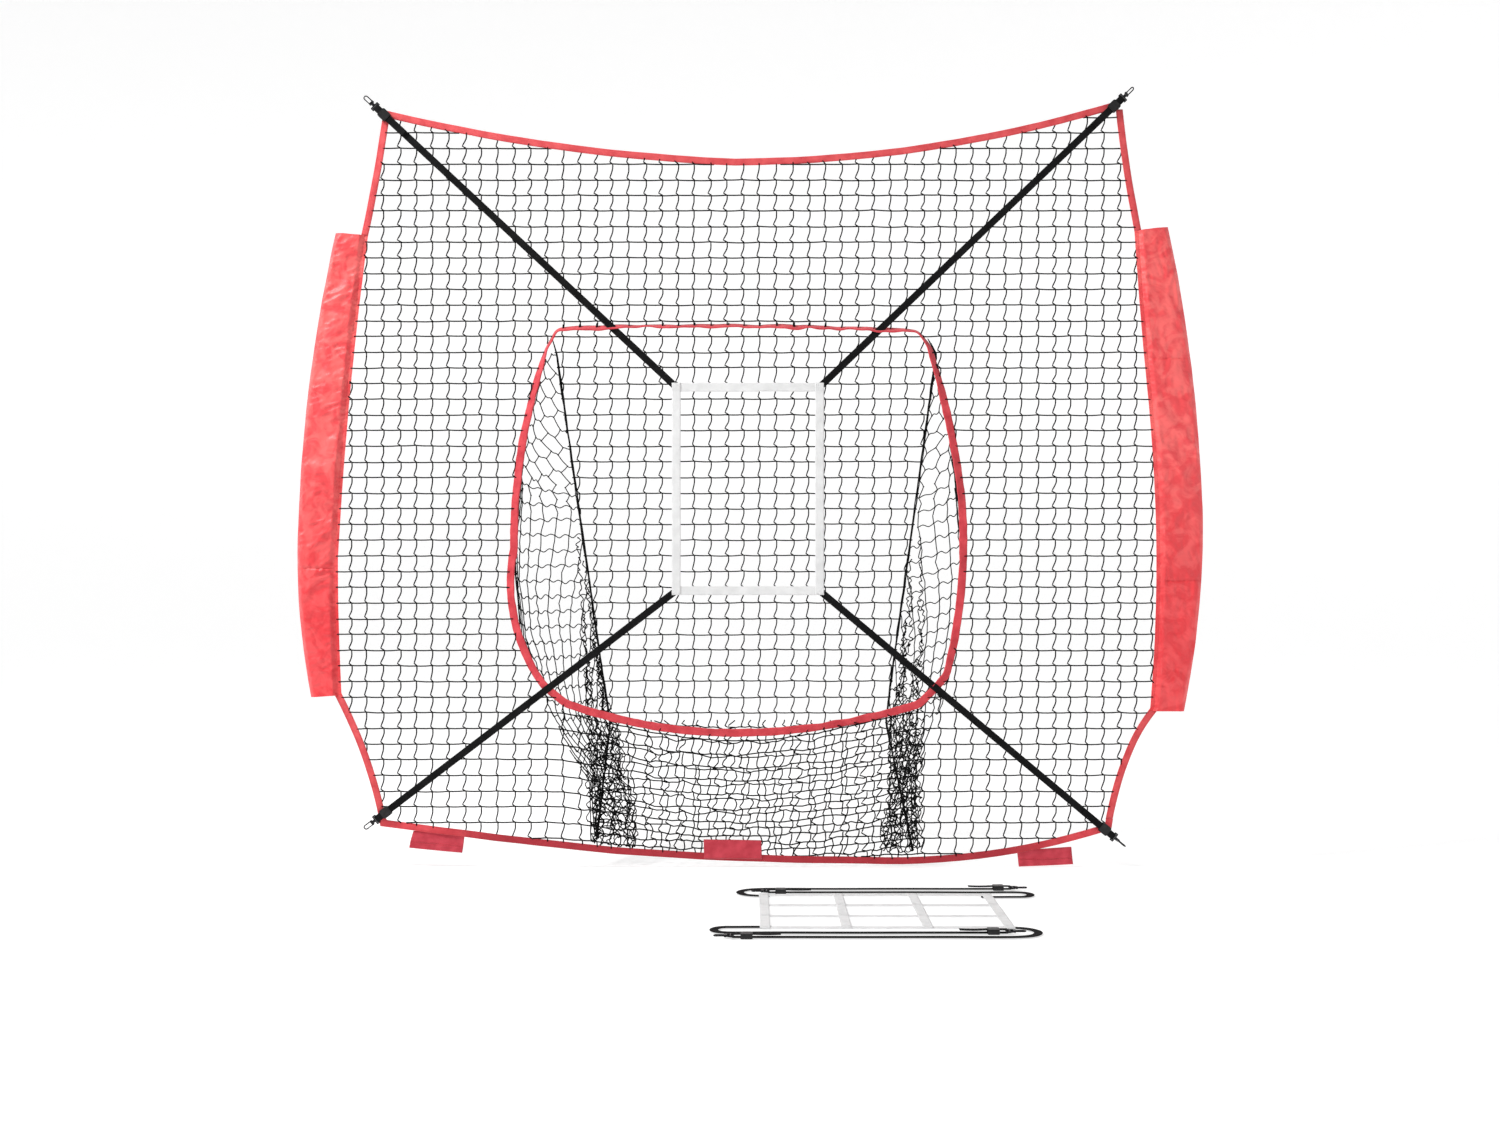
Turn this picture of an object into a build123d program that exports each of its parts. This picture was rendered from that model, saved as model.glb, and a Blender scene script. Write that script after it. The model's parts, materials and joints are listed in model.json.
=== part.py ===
from build123d import *
import math
import os

# A pitching target net: a net panel with a ball mouth and a wedge pocket behind it, red pole
# sleeves and borders, a strike zone of white webbing held by four elastic straps with swivel
# snap hooks, and a nine-hole target that swaps in for the strike zone and lies on the ground.
# Frame: +X right, +Z up, the front faces -Y. The origin is the middle of the bottom hem, where
# the base tube of a goal frame carries the net. All sizes are in millimetres.

# ---------------------------------------------------------------- driving dimensions
NET_T = 3.0                # thickness of the knotted mesh
BINDING_W = 20.0           # width of the red binding
BINDING_T = 4.0            # binding folded over the mesh edge
BINDING_GAP = 0.2          # clearance between a binding and what lies on it
SLEEVE_T = 14.0            # pole sleeve, outside, front to back
SLEEVE_BORE = 11.0         # pole sleeve, inside, front to back
SLEEVE_SKIN = 4.0          # seam and edge width of the sleeve, in the net's plane
RIM_W = 16.0               # width of the elastic rim of the mouth
RIM_T = 8.0                # thickness of the elastic rim
GROUND_Z = -16.0           # the ground under the base tube
TAB_T = 3.0                # tabs that wrap the base tube, of doubled fabric
FAR = 1500.0               # past the net's edge on every side

POCKET_TOP_Z = 1497.0      # where the pocket's back leaves the rim
POCKET_FOLD_Z = 360.0      # lowest line of the pocket's back, where its floor starts
POCKET_HEM_Z = 14.0        # where the pocket's floor is sewn to the hem
POCKET_DEPTH = 400.0       # how far the pocket stands out behind the net
POCKET_FRONT_Y = 6.0       # the pocket's front edge, just behind the rim
PANEL_GAP = 8.0            # clearance between neighbouring pocket panels
BACK_HALF_TOP = 545.0      # half width of the pocket's back at the rim
BACK_HALF_FOLD = 420.0     # half width at the fold line
HEM_HALF = 452.0           # half width of the pocket's floor at the hem

STRIP_W = 25.0             # white webbing of both targets
STRIP_T = 1.6
ZONE_CENTRE = (-6.0, 1056.0)
ZONE_W = 430.0             # strike zone, outside
ZONE_H = 600.0

STRAP_W = 20.0             # black elastic webbing
STRAP_T = 1.8
STRAP_TAIL = 110.0         # strap folded back through the adjuster
STRAP_BACK_Y = -4.7        # back face of the straps, in front of the rim
LAYER_GAP = 0.1            # clearance between layers of webbing
BUCKLE_GAP = 0.3           # clearance between the strap and its hardware

BAR_R = 2.3                # crossbar of the swivel eye
LOOP_R = 2.6               # inside radius of the strap round the crossbar
STRAP_MID = LOOP_R + STRAP_T / 2           # middle of either layer from the crossbar
EYE_W = 27.0
EYE_CORNER_R = 2.2
EYE_WINDOW = 10.0          # opening on the strap's side and the hook's side of the crossbar
EYE_REACH = 8.2            # crossbar to the far side of the eye
BARREL_R = 4.5
BARREL_START = 7.2         # the swivel barrel, from the crossbar
BARREL_END = 14.0
PIN_R = 2.0                # swivel pin, and its bore with a running clearance
PIN_BORE_R = 2.06
PIN_START = 9.7            # inner end of the pin from the crossbar
PIN_END_GAP = 0.5
HOOK_WIRE_R = 1.7          # snap hook
HOOK_LOOP_R = 5.8
HOOK_TIP = 46.0            # hook tip from the crossbar
HOOK_TURN = HOOK_TIP - HOOK_LOOP_R - HOOK_WIRE_R
HOOK_BASE_START = BARREL_END + BUCKLE_GAP
HOOK_BASE_END = 21.0
HOOK_BASE_T = 5.8          # thickness of the hook's base, and length of the gate's pin
HOOK_BASE_CORNER_R = 1.5
WIRE_ROOT = 2.0            # how deep the hook's wire starts inside its base
GATE_WIRE_R = 1.5
GATE_PIVOT = 19.4          # gate pivot from the crossbar
GATE_KNUCKLE_R = 1.9       # the gate's knuckle round its pivot pin
GATE_KNUCKLE_HALF = 1.7
GATE_PIN_R = 0.7
GATE_BORE_R = 0.76
GATE_SLOT = 3.8            # width of the slot in the hook's base for the gate's knuckle
GATE_SLOT_L = 6.0
NOSE_END = 35.0            # where the hook's nose ends over the gate
ADJUSTER_L = 28.0
ADJUSTER_W = 28.0
ADJUSTER_T = 12.4
ADJUSTER_CORNER_R = 5.0
ADJUSTER_BAR = 7.0         # width of the bar between the two layers of strap
ADJUSTER_AT = -31.0        # middle of the adjuster from the crossbar

PANEL_CENTRE = (323.0, -640.0)
PANEL_W = 600.0            # nine-hole target, outside
PANEL_H = 430.0
PANEL_LIFT = 2.6           # the straps' hardware holds them this far off the ground
TURN_SHARE = 0.45          # share of a strap's shorter run that each of its turns takes up

FRONT = Plane.XZ           # normal towards -Y, local x = +X, local y = +Z
FORWARD = Vector(0, -1, 0)
UP = Vector(0, 0, 1)

# ---------------------------------------------------------------- outlines in the net's plane
# each edge is a chain of arcs: a point at every joint and one in the middle of every arc
TOP_EDGE = [(-1037, 2129), (-560, 2038), (-42, 1991), (520, 2036), (1052, 2158)]
RIGHT_UPPER = [(1052, 2158), (1073, 1985), (1108, 1786)]
RIGHT_SIDE = [(1108, 1786), (1121, 1600), (1148, 1300), (1170, 860), (1152, 428)]
RIGHT_LOWER = [(1152, 428), (1112, 371), (1080, 305), (1050, 220), (1022, 92)]
HEM_EDGE = [(1022, 92), (764, 27), (325, -4), (-60, 4), (-380, 23), (-720, 60), (-1046, 102)]
LEFT_LOWER = [(-1046, 102), (-1096, 290), (-1176, 473)]
LEFT_SIDE = [(-1176, 473), (-1184, 690), (-1186, 860), (-1160, 1234), (-1101, 1772)]
LEFT_UPPER = [(-1101, 1772), (-1064, 1960), (-1037, 2129)]

RIGHT_SLEEVE_EDGE = [(1183, 1797), (1248, 1412), (1281, 1000), (1270, 705), (1228, 427)]
LEFT_SLEEVE_EDGE = [(-1172, 1780), (-1242, 1392), (-1276, 1013), (-1280, 820), (-1242, 467)]

MOUTH_TOP = [(-544, 1507), (-136, 1516), (473, 1501)]
MOUTH_RIGHT = [(507, 1458), (560, 1259), (598, 1040), (600, 800), (556, 530)]
MOUTH_BOTTOM = [(478, 447), (224, 388), (-14, 366), (-252, 382), (-520, 449)]
MOUTH_LEFT = [(-583, 500), (-651, 631), (-668, 886), (-648, 1157), (-577, 1450)]

# cut heights between one binding and the next
LEFT_CUTS = (2100, 1772, 473, 132)
RIGHT_CUTS = (2130, 1786, 428, 122)

CORNERS = {
    # name: (hook tip x, z, how far the hook has swivelled, degrees)
    "upper_left": (-1090, 2165, 12),
    "upper_right": (1084, 2190, 50),
    "lower_left": (-1090, 96, -10),
    "lower_right": (1061, 45, 80),
}

# the four straps of the nine-hole target, each a hand-set route on the ground from its corner,
# measured from the middle of the panel
PANEL_ROUTES = {
    "far_left": [
        (-272, 203), (-306, 202), (-338, 217), (-353, 251), (-337, 284), (-303, 299),
        (-240, 302), (-124, 298), (66, 301), (214, 299), (362, 299),
    ],
    "far_right": [
        (272, 187), (312, 186), (352, 188), (382, 187), (399, 199), (406, 219), (399, 239),
        (382, 251), (342, 252), (264, 249), (120, 253), (-96, 251), (-274, 251),
    ],
    "near_left": [
        (-272, -187), (-314, -186), (-356, -188), (-386, -187), (-403, -199), (-410, -219),
        (-403, -239), (-386, -251), (-344, -253), (-262, -250), (-118, -253), (94, -251),
        (274, -251),
    ],
    "near_right": [
        (272, -195), (305, -196), (336, -212), (352, -247), (337, -283), (305, -299),
        (245, -302), (130, -298), (-66, -301), (-216, -299), (-362, -299),
    ],
}

os.makedirs("parts", exist_ok=True)


def save(piece, label):
    """Name a finished piece and write it as one STEP file."""
    piece.part.label = label
    export_step(piece.part, f"parts/{label}.step")


def plate(face, thickness, mode=Mode.ADD):
    """Thicken a front-view face, half of it each side of the net's plane."""
    extrude(face.moved(Location((0, thickness / 2, 0))), amount=thickness, mode=mode)


# ---------------------------------------------------------------- net panel and bindings
def edge_ring(*edges):
    """A front-view face bounded by chains of arcs, joined end to end in order."""
    with BuildSketch(FRONT) as face:
        with BuildLine():
            for edge, following in zip(edges, edges[1:] + edges[:1]):
                for start, middle, end in zip(edge[::2], edge[1::2], edge[2::2]):
                    ThreePointArc(start, middle, end)
                if edge[-1] != following[0]:
                    Line(edge[-1], following[0])
        make_face()
    return face.sketch


def resized(face, amount):
    """The same face grown or shrunk all round."""
    with BuildSketch(FRONT) as result:
        offset(face, amount=amount, mode=Mode.ADD)
    return result.sketch


net_face = edge_ring(
    TOP_EDGE, RIGHT_UPPER, RIGHT_SIDE, RIGHT_LOWER, HEM_EDGE, LEFT_LOWER, LEFT_SIDE, LEFT_UPPER
)
mesh_face = resized(net_face, -BINDING_W)
mouth_face = edge_ring(MOUTH_TOP, MOUTH_RIGHT, MOUTH_BOTTOM, MOUTH_LEFT)
mouth_outer = resized(mouth_face, RIM_W / 2)
mouth_inner = resized(mouth_face, -RIM_W / 2)

with BuildPart() as front_net:
    plate(mesh_face, NET_T)
    plate(mouth_outer, NET_T, Mode.SUBTRACT)
save(front_net, "front_net")

with BuildPart() as pocket_rim:
    plate(mouth_outer, RIM_T)
    plate(mouth_inner, RIM_T, Mode.SUBTRACT)
save(pocket_rim, "pocket_rim")


def binding_sketch(x_low, x_high, z_low, z_high):
    """The part of the binding that lies in one box of the front view."""
    with BuildSketch(FRONT) as ring:
        add(net_face)
        add(mesh_face, mode=Mode.SUBTRACT)
        with Locations(((x_low + x_high) / 2, (z_low + z_high) / 2)):
            Rectangle(x_high - x_low, z_high - z_low, mode=Mode.INTERSECT)
    return ring.sketch


TOP_LEFT_X = -1022.0       # where the top border ends over the upper side borders
TOP_RIGHT_X = 1033.0
BINDINGS = {
    "top_border": [
        (-FAR, TOP_LEFT_X, LEFT_CUTS[0], 2 * FAR),
        (TOP_LEFT_X, TOP_RIGHT_X, FAR, 2 * FAR),
        (TOP_RIGHT_X, FAR, RIGHT_CUTS[0], 2 * FAR),
    ],
    "upper_left_border": [(-FAR, TOP_LEFT_X, LEFT_CUTS[1], LEFT_CUTS[0])],
    "upper_right_border": [(TOP_RIGHT_X, FAR, RIGHT_CUTS[1], RIGHT_CUTS[0])],
    "lower_left_border": [(-FAR, 0, LEFT_CUTS[3], LEFT_CUTS[2])],
    "lower_right_border": [(0, FAR, RIGHT_CUTS[3], RIGHT_CUTS[2])],
    "bottom_hem": [(-FAR, 0, -FAR, LEFT_CUTS[3]), (0, FAR, -FAR, RIGHT_CUTS[3])],
}
for label, boxes in BINDINGS.items():
    with BuildPart() as binding:
        for box in boxes:
            plate(binding_sketch(*box), BINDING_T)
    save(binding, label)


def sleeve(side_edge, outer_edge, z_low, z_high, sign):
    """A flat tube of fabric sewn along the net's side, open at both ends for a pole.

    Both edges run from the top down."""
    outline = edge_ring(side_edge, outer_edge[::-1])
    near = [(x + sign * SLEEVE_SKIN, z) for x, z in side_edge]
    far = [(x - sign * SLEEVE_SKIN, z) for x, z in outer_edge]
    for line in (near, far):
        line.insert(0, (line[0][0], line[0][1] + BINDING_W))
        line.append((line[-1][0], line[-1][1] - BINDING_W))
    bore = edge_ring(near, far[::-1])
    strip_box = sorted((0, sign * FAR)) + [z_low, z_high]
    with BuildPart() as piece:
        plate(outline, SLEEVE_T)
        plate(binding_sketch(*strip_box), SLEEVE_T)
        plate(bore, SLEEVE_BORE, Mode.SUBTRACT)
    return piece


left_sleeve = sleeve(LEFT_SIDE[::-1], LEFT_SLEEVE_EDGE, LEFT_CUTS[2], LEFT_CUTS[1], -1)
save(left_sleeve, "left_pole_sleeve")
right_sleeve = sleeve(RIGHT_SIDE, RIGHT_SLEEVE_EDGE, RIGHT_CUTS[2], RIGHT_CUTS[1], 1)
save(right_sleeve, "right_pole_sleeve")


# ---------------------------------------------------------------- pocket behind the mouth
def pocket_depth(z):
    """How far the pocket's back or floor stands behind its front edge at one height."""
    if z >= POCKET_FOLD_Z:
        return POCKET_DEPTH * (POCKET_TOP_Z - z) / (POCKET_TOP_Z - POCKET_FOLD_Z)
    return POCKET_DEPTH * (z - POCKET_HEM_Z) / (POCKET_FOLD_Z - POCKET_HEM_Z) + PANEL_GAP


def back_half(z):
    """Half width of the back or floor net at one height."""
    if z >= POCKET_FOLD_Z:
        share = (POCKET_TOP_Z - z) / (POCKET_TOP_Z - POCKET_FOLD_Z)
        return BACK_HALF_TOP + (BACK_HALF_FOLD - BACK_HALF_TOP) * share
    share = (POCKET_FOLD_Z - z) / (POCKET_FOLD_Z - POCKET_HEM_Z)
    return BACK_HALF_FOLD + (HEM_HALF - BACK_HALF_FOLD) * share


POCKET_SHIFT = {1470: -10, 1200: -10, 900: -9, 640: -9, 490: -8, 360: -6, 14: 12}
# distance of the gusset's front edge from the middle, at the same heights, left and right
GUSSET_FRONT_LEFT = {1470: -570, 1200: -640, 900: -664, 640: -650, 490: -590, 360: -535, 14: -458}
GUSSET_FRONT_RIGHT = {1470: 512, 1200: 568, 900: 598, 640: 584, 490: 560, 360: 508, 14: 476}


def gusset(front_edge, sign):
    """One side wall of the pocket, lofted between strips at several heights."""
    with BuildPart() as piece:
        for z, front_x in front_edge.items():
            depth = max(pocket_depth(z), PANEL_GAP)
            start = Vector(front_x, POCKET_FRONT_Y, 0)
            end = Vector(POCKET_SHIFT[z] + sign * back_half(z), POCKET_FRONT_Y + depth, 0)
            side = (end - start).normalized().cross(UP) * (NET_T / 2)
            corners = [start + side, end + side, end - side, start - side]
            with BuildSketch(Plane.XY.offset(z)):
                with BuildLine():
                    Polyline(*[(c.X, c.Y) for c in corners], close=True)
                make_face()
        loft(ruled=True)
    return piece


save(gusset(GUSSET_FRONT_LEFT, -1), "pocket_left_gusset")
save(gusset(GUSSET_FRONT_RIGHT, 1), "pocket_right_gusset")


def pocket_panel(z_from, z_to, shift_from, shift_to):
    """The back or the floor of the pocket: a flat trapezoid hung across it."""
    start = Vector(0, POCKET_FRONT_Y + pocket_depth(z_from), z_from)
    end = Vector(0, POCKET_FRONT_Y + pocket_depth(z_to), z_to)
    run = (end - start).normalized()
    plane = Plane(origin=start, x_dir=(1, 0, 0), z_dir=Vector(1, 0, 0).cross(run))
    length = (end - start).length
    inset = 2 * PANEL_GAP
    left_from = shift_from - back_half(z_from) + inset
    right_from = shift_from + back_half(z_from) - inset
    left_to = shift_to - back_half(z_to) + inset
    right_to = shift_to + back_half(z_to) - inset
    with BuildPart() as piece:
        with BuildSketch(plane):
            with BuildLine():
                Polyline(
                    (left_from, 0), (right_from, 0), (right_to, length), (left_to, length),
                    close=True,
                )
            make_face()
        extrude(amount=NET_T / 2, both=True)
    return piece


top_shift, fold_shift, hem_shift = POCKET_SHIFT[1470], POCKET_SHIFT[360], POCKET_SHIFT[14]
back_net = pocket_panel(
    POCKET_TOP_Z - 2 * PANEL_GAP, POCKET_FOLD_Z + PANEL_GAP, top_shift, fold_shift
)
save(back_net, "pocket_back_net")
floor_net = pocket_panel(
    POCKET_FOLD_Z - PANEL_GAP, POCKET_HEM_Z + PANEL_GAP, fold_shift, hem_shift
)
save(floor_net, "pocket_floor_net")


# ---------------------------------------------------------------- tabs that wrap the base tube
def tab(outline, y_front):
    """A flat tab of doubled fabric from its four corners in the front view."""
    with BuildPart() as piece:
        with BuildSketch(Plane.XZ.offset(-y_front)):
            with BuildLine():
                Polyline(*outline, close=True)
            make_face()
        extrude(amount=TAB_T)
    return piece


HEM_BACK_Y = BINDING_T / 2 + BINDING_GAP
TABS = {
    # name: corners of the tab, then of the flap below its fold line
    "left_tab": [(-953, 88), (-808, 76), (-812, 44), (-962, 58)],
    "left_tab_flap": [(-962, 57.5), (-812, 43.5), (-815, 27), (-965, 41)],
    "right_tab": [(756, 33), (910, 42), (913, 10), (759, 7)],
    "right_tab_flap": [(759, 6.5), (913, 9.5), (915, -6), (761, -12)],
}
for label, outline in TABS.items():
    save(tab(outline, HEM_BACK_Y + TAB_T), label)

CENTER_TAB = [(-130, 12), (34, 10), (32, 62), (-131, 65)]
save(tab(CENTER_TAB, -HEM_BACK_Y), "center_tab")


# ---------------------------------------------------------------- strike zone
ZONE_BACK_Y = STRAP_BACK_Y - STRAP_T - LAYER_GAP     # straps end behind the webbing
POST_BACK_Y = ZONE_BACK_Y - STRIP_T - LAYER_GAP


def strip(x, z, width, height, back_y):
    """One length of flat webbing in the front view."""
    with BuildPart() as piece:
        with BuildSketch(Plane.XZ.offset(-back_y)):
            with Locations((x, z)):
                Rectangle(width, height)
        extrude(amount=STRIP_T)
    return piece


zone_x, zone_z = ZONE_CENTRE
rail_z = (ZONE_H - STRIP_W) / 2
post_x = (ZONE_W - STRIP_W) / 2
save(strip(zone_x, zone_z + rail_z, ZONE_W, STRIP_W, ZONE_BACK_Y), "zone_top_strip")
save(strip(zone_x, zone_z - rail_z, ZONE_W, STRIP_W, ZONE_BACK_Y), "zone_bottom_strip")
save(strip(zone_x - post_x, zone_z, STRIP_W, ZONE_H, POST_BACK_Y), "zone_left_strip")
save(strip(zone_x + post_x, zone_z, STRIP_W, ZONE_H, POST_BACK_Y), "zone_right_strip")


# ---------------------------------------------------------------- strap hardware
def hardware_plane(crossbar, outward, face):
    """Local frame of one strap end: x along the strap, y across it, z towards its face."""
    return Plane(origin=crossbar, x_dir=outward, z_dir=face)


def strap_section(frame):
    """Plane through the strap's length and thickness: x outward, y towards its face."""
    return Plane(origin=frame.origin, x_dir=frame.x_dir, z_dir=-frame.y_dir)


def across(frame):
    """Plane across the strap's length, facing outward."""
    return Plane(origin=frame.origin, x_dir=frame.y_dir, z_dir=frame.x_dir)


def strap_end(frame):
    """The strap's turn round the crossbar and its tail, folded back over the strap."""
    outer_r = LOOP_R + STRAP_T
    with BuildPart() as piece:
        with BuildSketch(strap_section(frame)):
            Circle(outer_r)
            Circle(LOOP_R, mode=Mode.SUBTRACT)
            with Locations((-outer_r, 0)):
                Rectangle(2 * outer_r, 2 * outer_r, mode=Mode.SUBTRACT)
            with Locations((-STRAP_TAIL / 2, STRAP_MID)):
                Rectangle(STRAP_TAIL, STRAP_T)
        extrude(amount=STRAP_W / 2, both=True)
    return piece


def strap(frame, length):
    """A straight strap of a given length to the crossbar, with its end round the bar."""
    end = strap_end(frame)
    with BuildPart() as piece:
        add(end.part)
        with BuildSketch(strap_section(frame)):
            with Locations((-length / 2, -STRAP_MID)):
                Rectangle(length, STRAP_T)
        extrude(amount=STRAP_W / 2, both=True)
    return piece


def adjuster(frame):
    """A slide buckle: a frame round both layers of strap with a bar between them."""
    slot_half = LOOP_R + STRAP_T + BUCKLE_GAP
    bar_half = LOOP_R - BUCKLE_GAP
    with BuildPart() as piece:
        with BuildSketch(frame.offset(-ADJUSTER_T / 2)):
            with Locations((ADJUSTER_AT, 0)):
                RectangleRounded(ADJUSTER_L, ADJUSTER_W, ADJUSTER_CORNER_R)
        extrude(amount=ADJUSTER_T)
        with BuildSketch(frame.offset(-slot_half)):
            with Locations((ADJUSTER_AT, 0)):
                Rectangle(2 * ADJUSTER_L, STRAP_W + 2 * BUCKLE_GAP)
        extrude(amount=2 * slot_half, mode=Mode.SUBTRACT)
        with BuildSketch(frame.offset(-bar_half)):
            with Locations((ADJUSTER_AT, 0)):
                Rectangle(ADJUSTER_BAR, (STRAP_W + ADJUSTER_W) / 2)
        extrude(amount=2 * bar_half)
    return piece


def swivel_eye(frame):
    """A loop whose round crossbar carries the strap, with a barrel for the hook's pin."""
    with BuildPart() as piece:
        with BuildSketch(frame.offset(-BAR_R)):
            with Locations(((EYE_REACH - BAR_R) / 2, 0)):
                RectangleRounded(EYE_REACH + BAR_R, EYE_W, EYE_CORNER_R)
            Rectangle(EYE_WINDOW, STRAP_W + 2 * BUCKLE_GAP, mode=Mode.SUBTRACT)
        extrude(amount=2 * BAR_R)
        with BuildSketch(strap_section(frame)):
            Circle(BAR_R)
        extrude(amount=EYE_W / 2, both=True)
        with BuildSketch(across(frame).offset(BARREL_START)):
            Circle(BARREL_R)
        extrude(amount=BARREL_END - BARREL_START)
        with BuildSketch(across(frame).offset(PIN_START - PIN_END_GAP)):
            Circle(PIN_BORE_R)
        extrude(amount=BARREL_END, mode=Mode.SUBTRACT)
    return piece


def turned(frame, degrees):
    """The strap-end frame turned about the strap's length, for a swivelled hook."""
    angle = math.radians(degrees)
    face = frame.z_dir * math.cos(angle) - frame.y_dir * math.sin(angle)
    return Plane(origin=frame.origin, x_dir=frame.x_dir, z_dir=face)


def snap_hook(frame):
    """A swivelling snap hook: pin, base, spine, tip and nose, with a slot for its gate."""
    base_l = HOOK_BASE_END - HOOK_BASE_START
    base_w = 2 * (HOOK_LOOP_R + HOOK_WIRE_R)
    wire_start = HOOK_BASE_END - WIRE_ROOT
    with BuildPart() as piece:
        with BuildSketch(across(frame).offset(PIN_START)):
            Circle(PIN_R)
        extrude(amount=HOOK_BASE_START + HOOK_BASE_CORNER_R - PIN_START)
        with BuildSketch(frame.offset(-HOOK_BASE_T / 2)):
            with Locations((HOOK_BASE_START + base_l / 2, 0)):
                RectangleRounded(base_l, base_w, HOOK_BASE_CORNER_R)
        extrude(amount=HOOK_BASE_T)
        with BuildLine(frame):
            Line((wire_start, -HOOK_LOOP_R), (HOOK_TURN, -HOOK_LOOP_R))
            ThreePointArc(
                (HOOK_TURN, -HOOK_LOOP_R), (HOOK_TURN + HOOK_LOOP_R, 0), (HOOK_TURN, HOOK_LOOP_R)
            )
            Line((HOOK_TURN, HOOK_LOOP_R), (NOSE_END, HOOK_LOOP_R))
        with BuildSketch(across(frame).offset(wire_start)):
            with Locations((-HOOK_LOOP_R, 0)):
                Circle(HOOK_WIRE_R)
        sweep()
        with BuildSketch(frame.offset(-GATE_SLOT / 2)):
            with Locations((GATE_PIVOT + GATE_KNUCKLE_R / 3, HOOK_LOOP_R)):
                Rectangle(GATE_SLOT_L, 4 * GATE_KNUCKLE_R)
        extrude(amount=GATE_SLOT, mode=Mode.SUBTRACT)
        with BuildSketch(frame.offset(-HOOK_BASE_T / 2)):
            with Locations((GATE_PIVOT, HOOK_LOOP_R)):
                Circle(GATE_PIN_R)
        extrude(amount=HOOK_BASE_T)
    return piece


def hook_gate(frame):
    """The sprung gate that closes the hook between its base and its nose."""
    gate_l = NOSE_END - BUCKLE_GAP - GATE_PIVOT
    with BuildPart() as piece:
        with BuildSketch(across(frame).offset(GATE_PIVOT)):
            with Locations((HOOK_LOOP_R, 0)):
                Circle(GATE_WIRE_R)
        extrude(amount=gate_l)
        with BuildSketch(frame.offset(-GATE_KNUCKLE_HALF)):
            with Locations((GATE_PIVOT, HOOK_LOOP_R)):
                Circle(GATE_KNUCKLE_R)
        extrude(amount=2 * GATE_KNUCKLE_HALF)
        with BuildSketch(frame.offset(-HOOK_BASE_T)):
            with Locations((GATE_PIVOT, HOOK_LOOP_R)):
                Circle(GATE_BORE_R)
        extrude(amount=2 * HOOK_BASE_T, mode=Mode.SUBTRACT)
    return piece


# ---------------------------------------------------------------- straps of the strike zone
crossbar_y = STRAP_BACK_Y - STRAP_T - LOOP_R
for corner, (tip_x, tip_z, swivel) in CORNERS.items():
    side = -1 if "left" in corner else 1
    level = 1 if "upper" in corner else -1
    anchor = Vector(zone_x + side * post_x, crossbar_y, zone_z + level * rail_z)
    tip = Vector(tip_x, crossbar_y, tip_z)
    outward = (tip - anchor).normalized()
    end_frame = hardware_plane(tip - outward * HOOK_TIP, outward, FORWARD)
    strap_length = (tip - anchor).length - HOOK_TIP
    save(strap(end_frame, strap_length), f"strap_{corner}")
    save(adjuster(end_frame), f"adjuster_{corner}")
    save(swivel_eye(end_frame), f"swivel_eye_{corner}")
    hook_frame = turned(end_frame, swivel)
    save(snap_hook(hook_frame), f"hook_{corner}")
    save(hook_gate(hook_frame), f"gate_{corner}")
    print(corner, "strap length", round(strap_length + STRAP_TAIL))


# ---------------------------------------------------------------- nine-hole target
panel_x, panel_y = PANEL_CENTRE
strap_z = GROUND_Z + PANEL_LIFT                  # lower face of the straps
cross_z = strap_z + STRAP_T + LAYER_GAP          # lower face of the cross strips
upright_z = cross_z + STRIP_T + LAYER_GAP
with BuildPart() as cross_strips:
    with BuildSketch(Plane.XY.offset(cross_z)):
        with Locations(PANEL_CENTRE):
            with GridLocations(0, (PANEL_H - STRIP_W) / 3, 1, 4):
                Rectangle(PANEL_W, STRIP_W)
    extrude(amount=STRIP_T)
save(cross_strips, "panel_cross_strips")
with BuildPart() as upright_strips:
    with BuildSketch(Plane.XY.offset(upright_z)):
        with Locations(PANEL_CENTRE):
            with GridLocations((PANEL_W - STRIP_W) / 3, 0, 4, 1):
                Rectangle(STRIP_W, PANEL_H)
    extrude(amount=STRIP_T)
save(upright_strips, "panel_upright_strips")


def corner_radii(route):
    """The radius at each inner point of a route: TURN_SHARE of its shorter run over the turn."""
    points = [Vector(x, y) for x, y in route]
    radii = []
    for before, point, after in zip(points, points[1:], points[2:]):
        run_in, run_out = point - before, after - point
        half_turn = math.radians(run_in.get_angle(run_out)) / 2
        radii.append(TURN_SHARE * min(run_in.length, run_out.length) / math.tan(half_turn))
    return radii


def lying_strap(frame, route):
    """A strap lying flat along its route, with its end round the hook's crossbar."""
    end = strap_end(frame)
    with BuildPart() as piece:
        add(end.part)
        with BuildSketch(Plane.XY.offset(strap_z)):
            with BuildLine():
                FilletPolyline(*route, radius=corner_radii(route))
            trace(line_width=STRAP_W)
        extrude(amount=STRAP_T)
    return piece


panel_frames = {}
for corner, offsets in PANEL_ROUTES.items():
    route = [(panel_x + x, panel_y + y) for x, y in offsets]
    crossbar = Vector(*route[-1], strap_z + STRAP_T + LOOP_R)
    outward = Vector(math.copysign(1, offsets[-1][0]), 0, 0)
    end_frame = hardware_plane(crossbar, outward, UP)
    panel_frames[corner] = end_frame
    save(lying_strap(end_frame, route), f"panel_strap_{corner}")
    save(snap_hook(end_frame), f"panel_hook_{corner}")
    save(hook_gate(end_frame), f"panel_gate_{corner}")
    print(corner, "bend radii", [round(radius) for radius in corner_radii(route)])

with BuildPart() as panel_adjusters:
    for end_frame in panel_frames.values():
        add(adjuster(end_frame).part)
save(panel_adjusters, "panel_adjusters")
with BuildPart() as panel_eyes:
    for end_frame in panel_frames.values():
        add(swivel_eye(end_frame).part)
save(panel_eyes, "panel_swivel_eyes")
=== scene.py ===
import json
import math
import random

import bpy
import numpy as np
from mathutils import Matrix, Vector, noise


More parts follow.
